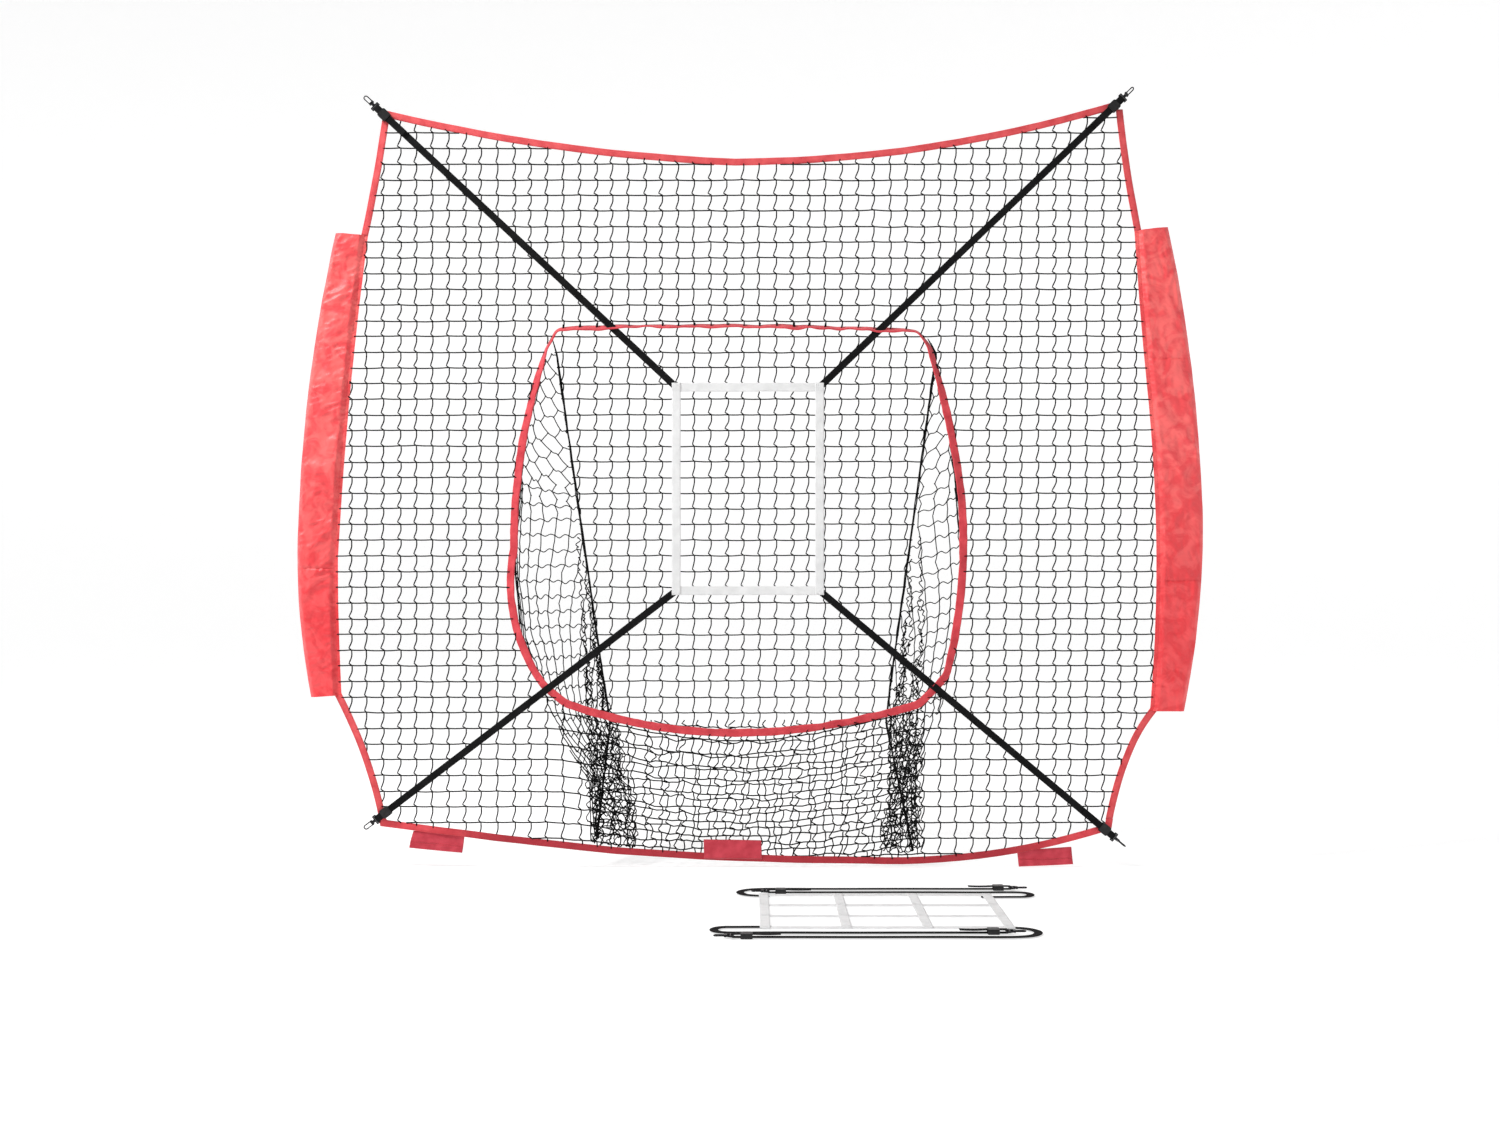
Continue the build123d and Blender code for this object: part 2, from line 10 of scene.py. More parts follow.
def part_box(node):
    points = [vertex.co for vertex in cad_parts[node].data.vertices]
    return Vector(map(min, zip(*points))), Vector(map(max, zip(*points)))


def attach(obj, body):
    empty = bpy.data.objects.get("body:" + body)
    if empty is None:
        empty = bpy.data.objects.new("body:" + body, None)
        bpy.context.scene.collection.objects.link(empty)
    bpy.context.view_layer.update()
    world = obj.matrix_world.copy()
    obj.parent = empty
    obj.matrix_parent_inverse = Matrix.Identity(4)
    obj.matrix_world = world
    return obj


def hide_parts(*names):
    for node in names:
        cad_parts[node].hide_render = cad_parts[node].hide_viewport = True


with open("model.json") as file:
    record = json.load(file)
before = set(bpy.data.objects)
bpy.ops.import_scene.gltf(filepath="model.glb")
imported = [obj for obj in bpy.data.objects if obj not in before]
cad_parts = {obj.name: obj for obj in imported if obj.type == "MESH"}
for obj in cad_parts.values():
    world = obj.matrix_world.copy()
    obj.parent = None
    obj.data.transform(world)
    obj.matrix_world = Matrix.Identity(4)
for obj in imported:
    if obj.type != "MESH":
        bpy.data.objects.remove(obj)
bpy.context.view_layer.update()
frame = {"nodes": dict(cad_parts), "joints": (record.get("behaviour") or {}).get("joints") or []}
joints = {joint["name"]: joint for joint in frame["joints"]}

CORNERS = ("upper_left", "upper_right", "lower_left", "lower_right")

# The camera stands square to the net. VIEW_W metres of the net's plane fill the picture's width.
CAMERA_DISTANCE = 5.0
CAMERA_HEIGHT = 0.848
VIEW_W = 4.245
SENSOR = 36.0

# Netting, in metres
PITCH_X = 0.0463
PITCH_Z = 0.04435
COLUMN_X = -0.6699
ROW_Z = 1.5319
TWINE_R = 0.0020
TWINE_SIDES = 5
LEAN = 0.0045              # how far a column swings to each side between its knots
PASS = 0.0009              # how far columns and rows weave in front of and behind each other
STRAND_GROWTH = 0.006      # cut strands run on this far, under what they are sewn to
KNOT_SIZE = (0.0044, 0.0023, 0.0024)
GUSSET_PITCH = {"left": 0.040, "right": 0.052}
GUSSET_TWINE_R = 0.0016
GUSSET_KNOT_SIZE = (0.0028, 0.0026, 0.0026)
LACE_R = 0.0014
HEM_COVER = 0.004          # twine this far below the hem's top edge is still hidden
GUSSET_PULL = {"left": 0.049, "right": 0.024}
COMB_Z = (1.02, 1.14)      # the gussets' mesh turns from squares to a honeycomb between these
SLACK_Z = 0.46             # above this height the gussets bow outward
# How far the gathered slack reaches outward and inward from the seam at the back, by height
GATHER_Z = (0.05, 0.15, 0.24, 0.30, 0.36, 0.40, 0.50, 0.65, 0.80, 0.95)
GATHER_OUT = {
    "left": (0.018, 0.034, 0.044, 0.053, 0.052, 0.048, 0.036, 0.021, 0.012, 0.004),
    "right": (0.028, 0.048, 0.063, 0.080, 0.080, 0.076, 0.068, 0.056, 0.031, 0.012),
}
GATHER_IN = {
    "left": (0.128, 0.110, 0.066, 0.058, 0.032, 0.020, 0.017, 0.009, 0.005, 0.002),
    "right": (0.090, 0.053, 0.025, 0.008, 0.002, 0.000, -0.004, 0.000, 0.008, 0.003),
}
GATHER_FOLDS = 18
GATHER_LAYERS = 3
GATHER_FALL = 0.030

# Woven parts, in metres
STRAP_W = 0.020
STRAP_T = 0.0018
STRAP_TAIL = 0.110
STRIP_W = 0.025
BAR_R = 0.0026
GROUND_Z = -0.016
RIM_W = 0.0225
RIM_T = 0.0044
STITCH_GAP = 0.0055
SEAM_BAND = 0.012          # of each sleeve, stitched flat along the net's side
SLEEVE_SEAMS = {"left": (0.832,), "right": (1.426, 0.798)}
SLEEVE_ROWS, SLEEVE_COLS = 520, 44
# Each set of creases: its depth, turn, stretch, scale and seed
SLEEVE_CREASES = ((0.0046, 0.0, 2.6, 15, 0), (0.0030, 0.8, 2.0, 28, 3),
                  (0.0022, -0.5, 2.2, 52, 5), (0.0010, 0.3, 1.6, 105, 7))

# The round stage, in metres
STAGE_R = 8.0              # flat part of the floor
STAGE_BEND = 2.5           # radius of the curve between floor and wall
STAGE_TOP = 8.0
STAGE_SIDES = 96
STAGE_GLOW = (-6.0, -2.0, 0.20, 0.62)      # from Y and to Y, with the glow at each


def add_object(name, data):
    obj = bpy.data.objects.new(name, data)
    bpy.context.collection.objects.link(obj)
    return obj


camera = add_object("camera", bpy.data.cameras.new("camera"))
camera.location = (0, -CAMERA_DISTANCE, CAMERA_HEIGHT)
camera.rotation_euler = (math.pi / 2, 0, 0)
camera.data.sensor_width = SENSOR
camera.data.lens = SENSOR * CAMERA_DISTANCE / VIEW_W
bpy.context.scene.camera = camera
bpy.context.scene.view_settings.view_transform = "Standard"


# ---------------------------------------------------------------- materials

def srgb(red, green, blue):
    """A linear colour from 8-bit display values."""
    def linear(value):
        value /= 255
        return value / 12.92 if value <= 0.04045 else ((value + 0.055) / 1.055) ** 2.4
    return (linear(red), linear(green), linear(blue), 1.0)


class Finish:
    """A Principled material whose colour wanders between two tones at a given scale."""

    def __init__(self, name, dark, light, rough, blotch=30.0, **extra):
        self.mat = bpy.data.materials.new(name)
        self.mat.use_nodes = True
        self.nodes, self.links = self.mat.node_tree.nodes, self.mat.node_tree.links
        self.shader = self.nodes["Principled BSDF"]
        self.place = self.add("TexCoord").outputs["Object"]
        self.tone = self.add("TexNoise", Vector=self.place, Scale=blotch, Detail=6.0)
        ramp = self.add("ValToRGB", Fac=self.tone.outputs["Fac"])
        self.tones = ramp.color_ramp.elements
        self.tones[0].position, self.tones[0].color = 0.35, dark
        self.tones[1].position, self.tones[1].color = 0.65, light
        self.fill(self.shader, Base_Color=ramp.outputs["Color"], Roughness=rough, **extra)

    def fill(self, node, **values):
        """Set or link a node's inputs; an underscore in a name stands for a space."""
        for key, value in values.items():
            into = node.inputs[key.replace("_", " ")]
            if isinstance(value, bpy.types.NodeSocket):
                self.links.new(value, into)
            else:
                into.default_value = value
        return node

    def add(self, kind, **values):
        return self.fill(self.nodes.new("ShaderNode" + kind), **values)

    def waves(self, ribs):
        """The sum of several fine ribs, each along one axis at one spacing in metres."""
        total = None
        for axis, spacing in ribs:
            wave = self.add("TexWave", Vector=self.place, Scale=math.pi / 10 / spacing,
                            Distortion=0.6, Detail_Scale=2.0)
            wave.bands_direction = axis
            if total is None:
                total = wave.outputs["Fac"]
                continue
            join = self.nodes.new("ShaderNodeMath")
            join.operation = "ADD"
            self.links.new(total, join.inputs[0])
            self.links.new(wave.outputs["Fac"], join.inputs[1])
            total = join.outputs["Value"]
        return total

    def bump(self, height, depth, **values):
        return self.add("Bump", Height=height, Distance=depth, **values).outputs["Normal"]

    def weave(self, ribs, depth, **values):
        self.fill(self.shader, Normal=self.bump(self.waves(ribs), depth, **values))

    def position_share(self, axis, low, high, fold=False):
        """0 at one place along an axis, 1 at another, and even in between."""
        at = self.add("SeparateXYZ", Vector=self.place).outputs[axis]
        if fold:
            both = self.add("Math", Value=at)
            both.operation = "ABSOLUTE"
            at = both.outputs["Value"]
        return self.add("MapRange", Value=at, From_Min=low, From_Max=high).outputs["Result"]

    def tint(self, share, colour):
        """Multiply the base colour by another one, as far as the share says."""
        mix = self.nodes.new("ShaderNodeMix")
        mix.data_type = "RGBA"
        mix.blend_type = "MULTIPLY"
        self.links.new(share, mix.inputs["Factor"])
        self.links.new(self.shader.inputs["Base Color"].links[0].from_socket, mix.inputs[6])
        mix.inputs[7].default_value = colour
        self.links.new(mix.outputs[2], self.shader.inputs["Base Color"])


def woven(name, dark, light, rough, ribs, depth, **extra):
    finish = Finish(name, dark, light, rough, **extra)
    finish.weave(ribs, depth)
    return finish.mat


twine_mat = woven("black_twine", srgb(5, 5, 6), srgb(15, 15, 16), 0.85,
                  [("DIAGONAL", 0.0011)], 0.0002, blotch=90.0, Specular_IOR_Level=0.15)
binding_mat = woven("red_binding", srgb(218, 62, 69), srgb(238, 87, 91), 0.72,
                    [("X", 0.0011), ("Z", 0.0011)], 0.00018, Sheen_Weight=0.25)
elastic_mat = woven("red_elastic", srgb(204, 44, 58), srgb(228, 70, 80), 0.7,
                    [("DIAGONAL", 0.0016)], 0.0003, Sheen_Weight=0.2)
crimson_mat = woven("crimson_fabric", srgb(186, 30, 52), srgb(212, 58, 76), 0.66,
                    [("X", 0.0009), ("Z", 0.0009)], 0.00014, Sheen_Weight=0.2)
webbing_mat = woven("white_webbing", srgb(232, 232, 232), srgb(243, 243, 243), 0.75,
                    [("X", 0.0022), ("Z", 0.0014), ("Y", 0.0022)], 0.0002, Sheen_Weight=0.1)
strap_mat = woven("black_elastic", srgb(12, 12, 13), srgb(23, 23, 24), 0.75,
                  [("DIAGONAL", 0.0016)], 0.0003, Specular_IOR_Level=0.12)
red_thread = woven("red_thread", srgb(200, 40, 54), srgb(222, 62, 72), 0.5,
                   [("DIAGONAL", 0.0006)], 0.0001)
white_thread = woven("white_thread", srgb(222, 222, 222), srgb(240, 240, 240), 0.5,
                     [("DIAGONAL", 0.0006)], 0.0001)
plastic_mat = woven("black_plastic", srgb(22, 22, 23), srgb(34, 34, 35), 0.38,
                    [("DIAGONAL", 0.0012)], 0.00002, blotch=120.0, Specular_IOR_Level=0.3)
metal_mat = woven("coated_metal", srgb(22, 22, 24), srgb(42, 42, 45), 0.32,
                  [("DIAGONAL", 0.003)], 0.00002, blotch=160.0, Metallic=0.6)


def nylon_with_painted_sheen_and_shade():
    """Coated nylon: creases that catch the light, painted crease shade and sheen, and painted
    shade lower down.
    """
    # The darker and lighter red, in sharp-edged blotches, are painted crease shade and painted
    # sheen highlights.
    finish = Finish("red_nylon", srgb(243, 70, 75), srgb(255, 104, 102), 0.40, blotch=17.0,
                    Sheen_Weight=0.3)
    finish.fill(finish.tone, Distortion=1.4)
    finish.tones[0].position, finish.tones[1].position = 0.42, 0.58
    ridges = finish.add("TexNoise")
    ridges.noise_type = "RIDGED_MULTIFRACTAL"
    finish.fill(ridges, Vector=finish.place, Scale=9.0, Detail=4.0, Distortion=0.7)
    creases = finish.bump(ridges.outputs["Fac"], 0.010)
    finish.weave([("X", 0.0007), ("Z", 0.0007)], 0.00005, Normal=creases)
    # Painted shade: the red is multiplied darker from 1.15 m down to 0.70 m and below, as if lit
    # from above.
    finish.tint(finish.position_share("Z", 1.15, 0.70), (0.92, 0.50, 0.58, 1.0))
    return finish.mat


def hem_crimson_in_middle():
    """Crimson binding that turns to bright red towards the net's lower corners."""
    finish = Finish("crimson_hem", srgb(222, 56, 68), srgb(236, 76, 84), 0.68, Sheen_Weight=0.15)
    finish.weave([("X", 0.0011), ("Z", 0.0011)], 0.00018)
    # Darker across the middle of the hem, bright red towards its ends.
    finish.tint(finish.position_share("X", 0.93, 0.72, fold=True), (0.56, 0.22, 0.36, 1.0))
    return finish.mat


sleeve_mat = nylon_with_painted_sheen_and_shade()
hem_mat = hem_crimson_in_middle()
floor_mat = bpy.data.materials.new("pale_floor")
floor_mat.use_nodes = True


# ---------------------------------------------------------------- mesh helpers

def clamped(value):
    """The value, kept between 0 and 1."""
    return min(max(value, 0.0), 1.0)


def smooth_mesh(name, verts, faces, mats):
    mesh = bpy.data.meshes.new(name)
    mesh.from_pydata(verts, [], faces)
    for mat in mats:
        mesh.materials.append(mat)
    mesh.polygons.foreach_set("use_smooth", [True] * len(mesh.polygons))
    return mesh


def piece(name, verts, faces, mats, body, slot, nodes, thread_from=None):
    """A named object with its mesh, its materials, the body it rides on and the nodes it replaces.
    Its faces from number thread_from on are stitches, in the second material."""
    mesh = smooth_mesh(name, np.asarray(verts).tolist(), faces, mats)
    if thread_from is not None:
        mesh.polygons.foreach_set("material_index",
                                  [int(k >= thread_from) for k in range(len(mesh.polygons))])
    mesh.validate()
    mesh.update()
    obj = add_object(name, mesh)
    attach(obj, body)
    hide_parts(*nodes)
    return obj


def unit(vectors):
    return vectors / np.maximum(np.linalg.norm(vectors, axis=-1, keepdims=True), 1e-12)


def ring_quads(rows, cols, closed=False, flip=False):
    """The faces between rows of points that go round, with cols points in each row."""
    base = np.arange(rows if closed else rows - 1)[:, None] * cols
    ahead = (base + cols) % (rows * cols)
    here = np.arange(cols)[None]
    after = (here + 1) % cols
    corners = [base + here, base + after, ahead + after, ahead + here]
    if flip:
        corners = [corners[k] for k in (0, 3, 2, 1)]
    return np.stack(corners, axis=-1).reshape(-1, 4)


def tubes(lines, radius, sides=TWINE_SIDES):
    """Round strands with closed ends along each line of points."""
    verts, faces, count = [], [], 0
    angle = np.arange(sides) * 2 * math.pi / sides
    for line in lines:
        line = np.asarray(line, float)
        along = unit(np.gradient(line, axis=0))
        ref = (0, 1, 0) if abs(along[:, 1]).mean() < 0.75 else (1, 0, 0)
        across = unit(np.cross(along, ref))
        other = np.cross(along, across)
        ring = (line[:, None] + radius * (np.cos(angle)[None, :, None] * across[:, None]
                                          + np.sin(angle)[None, :, None] * other[:, None]))
        total = len(line)
        verts.append(ring.reshape(-1, 3))
        verts.append(line[[0, -1]] + along[[0, -1]] * radius * np.array([[-0.7], [0.7]]))
        faces.extend((count + ring_quads(total, sides)).tolist())
        tip = count + total * sides
        last = count + (total - 1) * sides
        for side in range(sides):
            beyond = (side + 1) % sides
            faces.append((count + beyond, count + side, tip))
            faces.append((last + side, last + beyond, tip + 1))
        count = tip + 2
    return np.concatenate(verts), faces


GOLDEN = (1 + math.sqrt(5)) / 2
KNOT_SHAPE = unit(np.array([(-1, GOLDEN, 0), (1, GOLDEN, 0), (-1, -GOLDEN, 0), (1, -GOLDEN, 0),
                            (0, -1, GOLDEN), (0, 1, GOLDEN), (0, -1, -GOLDEN), (0, 1, -GOLDEN),
                            (GOLDEN, 0, -1), (GOLDEN, 0, 1), (-GOLDEN, 0, -1), (-GOLDEN, 0, 1)],
                           float))
KNOT_FACES = np.array([(0, 11, 5), (0, 5, 1), (0, 1, 7), (0, 7, 10), (0, 10, 11), (1, 5, 9),
                       (5, 11, 4), (11, 10, 2), (10, 7, 6), (7, 1, 8), (3, 9, 4), (3, 4, 2),
                       (3, 2, 6), (3, 6, 8), (3, 8, 9), (4, 9, 5), (2, 4, 11), (6, 2, 10),
                       (8, 6, 7), (9, 8, 1)])


def knots(points, size=KNOT_SIZE):
    """A small tight knot at each point, longer across the net than up it."""
    points = np.asarray(points, float).reshape(-1, 3)
    verts = points[:, None] + KNOT_SHAPE[None] * np.array(size)
    faces = KNOT_FACES[None] + np.arange(len(points))[:, None, None] * len(KNOT_SHAPE)
    return verts.reshape(-1, 3), faces.reshape(-1, 3).tolist()


def joined(*parts):
    """Several (verts, faces) as one."""
    verts, faces, count = [], [], 0
    for part_verts, part_faces in parts:
        verts.append(part_verts)
        faces.extend([tuple(i + count for i in face) for face in part_faces])
        count += len(part_verts)
    return np.concatenate(verts), faces


def wander(*at, seed=0.0):
    """Smooth noise from -1 to 1."""
    return noise.noise(Vector((at[0], at[1] if len(at) > 1 else 0.0, seed * 7.31 + 0.37)))


# ---------------------------------------------------------------- shapes read from the frame

def triangles(node):
    mesh = frame["nodes"][node].data
    mesh.calc_loop_triangles()
    points = np.empty(len(mesh.vertices) * 3, np.float32)
    mesh.vertices.foreach_get("co", points)
    corners = np.empty(len(mesh.loop_triangles) * 3, np.int32)
    mesh.loop_triangles.foreach_get("vertices", corners)
    return points.reshape(-1, 3).astype(float), corners.reshape(-1, 3)


def front_loops(node):
    """The outlines, in X and Z, of the flat face that a node turns to the front, longest first."""
    points, corners = triangles(node)
    keys = np.round(points * 1e5).astype(int)
    unique, index = np.unique(keys, axis=0, return_inverse=True)
    index = index.reshape(-1)
    front = keys[:, 1].min()
    follows = {}
    edges = set()
    for triangle in corners:
        if (keys[triangle, 1] <= front + 1).all():
            a, b, c = index[triangle]
            edges.update(((a, b), (b, c), (c, a)))
    for a, b in edges:
        if (b, a) not in edges:
            follows[a] = b
    loops = []
    while follows:
        start = next(iter(follows))
        loop, at = [], start
        while at in follows:
            loop.append(at)
            at = follows.pop(at)
        loops.append(unique[loop][:, [0, 2]] / 1e5)
    return sorted(loops, key=lambda loop: -len_of(loop, True))


def len_of(line, closed=False):
    if closed:
        line = np.concatenate([line, line[:1]])
    return np.linalg.norm(np.diff(line, axis=0), axis=1).sum()


def resample(line, count):
    """count points spaced evenly along a line."""
    steps = np.linalg.norm(np.diff(line, axis=0), axis=1)
    reach = np.concatenate([[0], np.cumsum(steps)])
    wanted = np.linspace(0, reach[-1], count)
    return np.stack([np.interp(wanted, reach, line[:, k]) for k in range(line.shape[1])], axis=1)


def long_sides(loop, upright):
    """The two long sides of a strip's outline, left and right or lower and upper.
    Both run the same way."""
    before, after = np.roll(loop, 1, axis=0), np.roll(loop, -1, axis=0)
    turn = 1 - (unit(loop - before) * unit(after - loop)).sum(axis=1)
    ends = sorted(np.argsort(-turn)[:4])
    sides = []
    for k, start in enumerate(ends):
        stop = ends[(k + 1) % 4]
        picked = np.arange(start, stop + 1 if stop > start else stop + len(loop) + 1)
        sides.append(loop[picked % len(loop)])
    sides = sorted(sides, key=lambda side: -len_of(side))[:2]
    axis = 1 if upright else 0
    sides = [side if side[-1][axis] > side[0][axis] else side[::-1] for side in sides]
    return sorted(sides, key=lambda side: side[:, 1 - axis].mean())


def inside(points, loop):
    """Which points lie inside a closed outline."""
    x, z = points[:, 0][:, None], points[:, 1][:, None]
    x1, z1 = loop[:, 0][None], loop[:, 1][None]
    x2, z2 = np.roll(loop[:, 0], -1)[None], np.roll(loop[:, 1], -1)[None]
    span = np.where(z2 == z1, 1e-12, z2 - z1)
    crosses = ((z1 > z) != (z2 > z)) & (x < (x2 - x1) * (z - z1) / span + x1)
    return crosses.sum(axis=1) % 2 == 1


def slices(node, heights):
    """Where a node's surface crosses each height: a list of arrays of points in X and Y."""
    points, corners = triangles(node)
    edges = np.unique(np.sort(np.concatenate([corners[:, [0, 1]], corners[:, [1, 2]],
                                              corners[:, [2, 0]]]), axis=1), axis=0)
    a, b = points[edges[:, 0]], points[edges[:, 1]]
    found = []
    for height in heights:
        cross = (a[:, 2] - height) * (b[:, 2] - height) < 0
        part = (height - a[cross, 2]) / (b[cross, 2] - a[cross, 2])
        found.append((a[cross] + part[:, None] * (b[cross] - a[cross]))[:, :2])
    return found


def ends_by_height(node, heights, axis):
    """The mean X, Y of a node's section at each height, at its low and its high end on an axis."""
    low, high = [], []
    for section in slices(node, heights):
        order = np.argsort(section[:, axis])
        low.append(section[order[:2]].mean(axis=0))
        high.append(section[order[-2:]].mean(axis=0))
    return np.array(low), np.array(high)


# ---------------------------------------------------------------- cords of the nine-hole target

# The listed points of each strap's route in millimetres, from the target's centre
PANEL_CENTRE = (0.323, -0.640)
STRAP_Z = GROUND_Z + 0.0026 + STRAP_T / 2
PANEL_ROUTES = {
    "far_left": [
        (-272, 203), (-306, 202), (-338, 217), (-353, 251), (-337, 284), (-303, 299),
        (-240, 302), (-124, 298), (66, 301), (214, 299), (362, 299),
    ],
    "far_right": [
        (272, 187), (312, 186), (352, 188), (382, 187), (399, 199), (406, 219), (399, 239),
        (382, 251), (342, 252), (264, 249), (120, 253), (-96, 251), (-274, 251),
    ],
    "near_left": [
        (-272, -187), (-314, -186), (-356, -188), (-386, -187), (-403, -199), (-410, -219),
        (-403, -239), (-386, -251), (-344, -253), (-262, -250), (-118, -253), (94, -251),
        (274, -251),
    ],
    "near_right": [
        (272, -195), (305, -196), (336, -212), (352, -247), (337, -283), (305, -299),
        (245, -302), (130, -298), (-66, -301), (-216, -299), (-362, -299),
    ],
}


def nurbs_path(points):
    """The points along a smooth NURBS line with these control points."""
    curve = bpy.data.curves.new("route", "CURVE")
    curve.dimensions = "3D"
    spline = curve.splines.new("NURBS")
    spline.points.add(len(points) - 1)
    for point, at in zip(spline.points, points):
        point.co = (*at, 1.0)
    spline.order_u = 3
    spline.use_endpoint_u = True
    spline.resolution_u = 40
    guide = add_object("route", curve)
    bpy.context.view_layer.update()
    line = bpy.data.meshes.new_from_object(guide.evaluated_get(
        bpy.context.evaluated_depsgraph_get()))
    found = np.array([tuple(vertex.co) for vertex in line.vertices])
    bpy.data.objects.remove(guide)
    return found


def webbing(line, width_axis, width, thick, closed=False):
    """A flat woven strap along a line: a rounded band with raised edges."""
    line = np.asarray(line, float)
    if closed:
        along = unit(np.roll(line, -1, axis=0) - np.roll(line, 1, axis=0))
    else:
        along = unit(np.gradient(line, axis=0))
    wide = unit(np.asarray(width_axis, float) * np.ones_like(line))
    wide = unit(wide - along * (wide * along).sum(axis=1)[:, None])
    out = np.cross(along, wide)
    shape = []
    steps = 8
    for side in (-1, 1):
        for k in range(steps + 1):
            across = side * (1 - 2 * k / steps)
            edge = 0.72 if k in (0, steps) else 1.0
            rib = 0.86 + 0.14 * (abs(across) > 0.6)
            shape.append((across * (0.5 if abs(across) < 1 else 0.497), side * 0.5 * edge * rib))
    shape = np.array(shape)
    ring = (line[:, None] + shape[None, :, :1] * width * wide[:, None]
            + shape[None, :, 1:] * thick * out[:, None])
    rows, cols = len(line), len(shape)
    faces = ring_quads(rows, cols, closed).tolist()
    if not closed:
        faces.append(tuple(range(cols))[::-1])
        faces.append(tuple(range((rows - 1) * cols, rows * cols)))
    return ring.reshape(-1, 3), faces


def turned_end(bar, outward, thick_axis, gap, tail):
    """A strap's line round a bar and back over itself: from the near layer to the tail's end."""
    bar, outward, thick_axis = (np.asarray(v, float) for v in (bar, outward, thick_axis))
    mid = gap + STRAP_T / 2
    points = [bar - thick_axis * mid - outward * 0.004]
    for angle in np.linspace(-90, 90, 13):
        turn = math.radians(angle)
        points.append(bar + outward * math.cos(turn) * mid + thick_axis * math.sin(turn) * mid)
    for reach in np.linspace(0.004, tail, 40):
        rise = 0.0006 * math.sin(reach * 60)
        points.append(bar + thick_axis * (mid + rise) - outward * reach)
    return points


for corner, route in PANEL_ROUTES.items():
    bar = Vector(joints[f"panel_hook_{corner}_swivel"]["pos_m"])
    outward = Vector(joints[f"panel_hook_{corner}_swivel"]["axis"])
    hand_points = [(PANEL_CENTRE[0] + x / 1000, PANEL_CENTRE[1] + y / 1000, STRAP_Z)
                   for x, y in route]
    run = nurbs_path(hand_points)
    run_length = len_of(run)
    turn = np.array(turned_end(bar, outward, (0, 0, 1), BAR_R, STRAP_TAIL))
    lying = resample(run, int(run_length / 0.006))
    strap_obj = piece(f"panel_strap_{corner}_webbing",
                      *joined(webbing(lying, np.cross(unit(np.gradient(lying, axis=0)), (0, 0, 1)),
                                      STRAP_W, STRAP_T),
                              webbing(turn[1:], (0, 1, 0), STRAP_W, STRAP_T)),
                      [strap_mat], "nine_hole_target", "black_elastic",
                      [f"panel_strap_{corner}"])


# ---------------------------------------------------------------- netting

def strands(bounds, keep, place, wobble, seed, column_steps=7, row_steps=3, sway=1.0):
    """Knotted netting over a region of the net's plane.
    keep says which points of the plane hold net, place carries points of the plane into space,
    and wobble shifts points of the plane."""
    (x_low, x_high), (z_low, z_high) = bounds
    columns = range(math.floor((x_low - COLUMN_X) / PITCH_X),
                    math.ceil((x_high - COLUMN_X) / PITCH_X) + 1)
    rows = range(math.floor((z_low - ROW_Z) / PITCH_Z), math.ceil((z_high - ROW_Z) / PITCH_Z) + 1)
    chance = random.Random(seed)
    lean = {(i, j): LEAN * sway * (1.0 + 0.25 * math.sin(i * 1.57)) + chance.gauss(0, 0.0005)
            for i in columns for j in rows}
    drift = {i: chance.gauss(0, 0.0010) for i in columns}
    level = {j: chance.gauss(0, 0.0007) for j in rows}
    slump = {(i, j): chance.gauss(0, 0.0006) for i in columns for j in rows}
    lines = []

    def border(flat, depth, k, beyond):
        """The last place that holds net between point k and the one beyond it, if any."""
        if not 0 <= beyond < len(flat):
            return np.empty((0, 3))
        tries = flat[k] + (flat[beyond] - flat[k]) * np.linspace(0.1, 0.9, 9)[:, None]
        held = np.flatnonzero(keep(tries))
        return place(tries[held[-1:]], depth[k]) if len(held) else np.empty((0, 3))

    def add_runs(flat, depth):
        flat, depth = wobble(np.array(flat)), np.array(depth)
        kept = keep(flat)
        solid = place(flat, depth)
        start = 0
        for k in range(1, len(flat) + 1):
            if k == len(flat) or kept[k] != kept[start]:
                if kept[start] and k - start > 2:
                    run = np.concatenate([border(flat, depth, start, start - 1), solid[start:k],
                                          border(flat, depth, k - 1, k)])
                    grow = unit(np.array([run[0] - run[1], run[-1] - run[-2]]))
                    grow *= STRAND_GROWTH
                    lines.append(np.concatenate([[run[0] + grow[0]], run, [run[-1] + grow[1]]]))
                start = k

    for i in columns:
        flat, depth = [], []
        for j in reversed(rows):
            push = lean[i, j]
            bow = chance.uniform(0.25, 1.0)
            for step in range(column_steps):
                part = step / column_steps
                ease = clamped((part - 0.38 * bow) / (1 - 0.38 * bow))
                side = 1 - 2 * ease * ease * (3 - 2 * ease)
                belly = 0.18 * math.sin(part * math.pi) * (1.2 - bow)
                flat.append((COLUMN_X + i * PITCH_X + drift[i] + push * (side + belly),
                             ROW_Z + (j + 1 - part) * PITCH_Z + level.get(j + 1, 0) * (1 - part)
                             + level[j] * part))
                depth.append(-PASS * math.cos(part * 2 * math.pi))
        add_runs(flat, depth)
    for j in rows:
        flat, depth = [], []
        for i in columns:
            for step in range(row_steps):
                part = step / row_steps
                dip = slump[i, j] + (slump.get((i + 1, j), 0) - slump[i, j]) * part
                sag = -0.0009 * math.sin(part * math.pi)
                flat.append((COLUMN_X + (i + part) * PITCH_X, ROW_Z + j * PITCH_Z + level[j]
                             + dip + sag))
                depth.append(PASS * math.cos(part * 2 * math.pi))
        add_runs(flat, depth)
    ties = wobble(np.array([(COLUMN_X + i * PITCH_X + drift[i], ROW_Z + j * PITCH_Z + level[j]
                             + slump[i, j]) for i in columns for j in rows]))
    held = keep(ties)
    return lines, place(ties, np.zeros(len(ties)))[held]


def net_piece(name, node, lines, ties):
    verts, faces = joined(tubes(lines, TWINE_R), knots(ties))
    return piece(name, verts, faces, [twine_mat], "net", "black_net", [node])


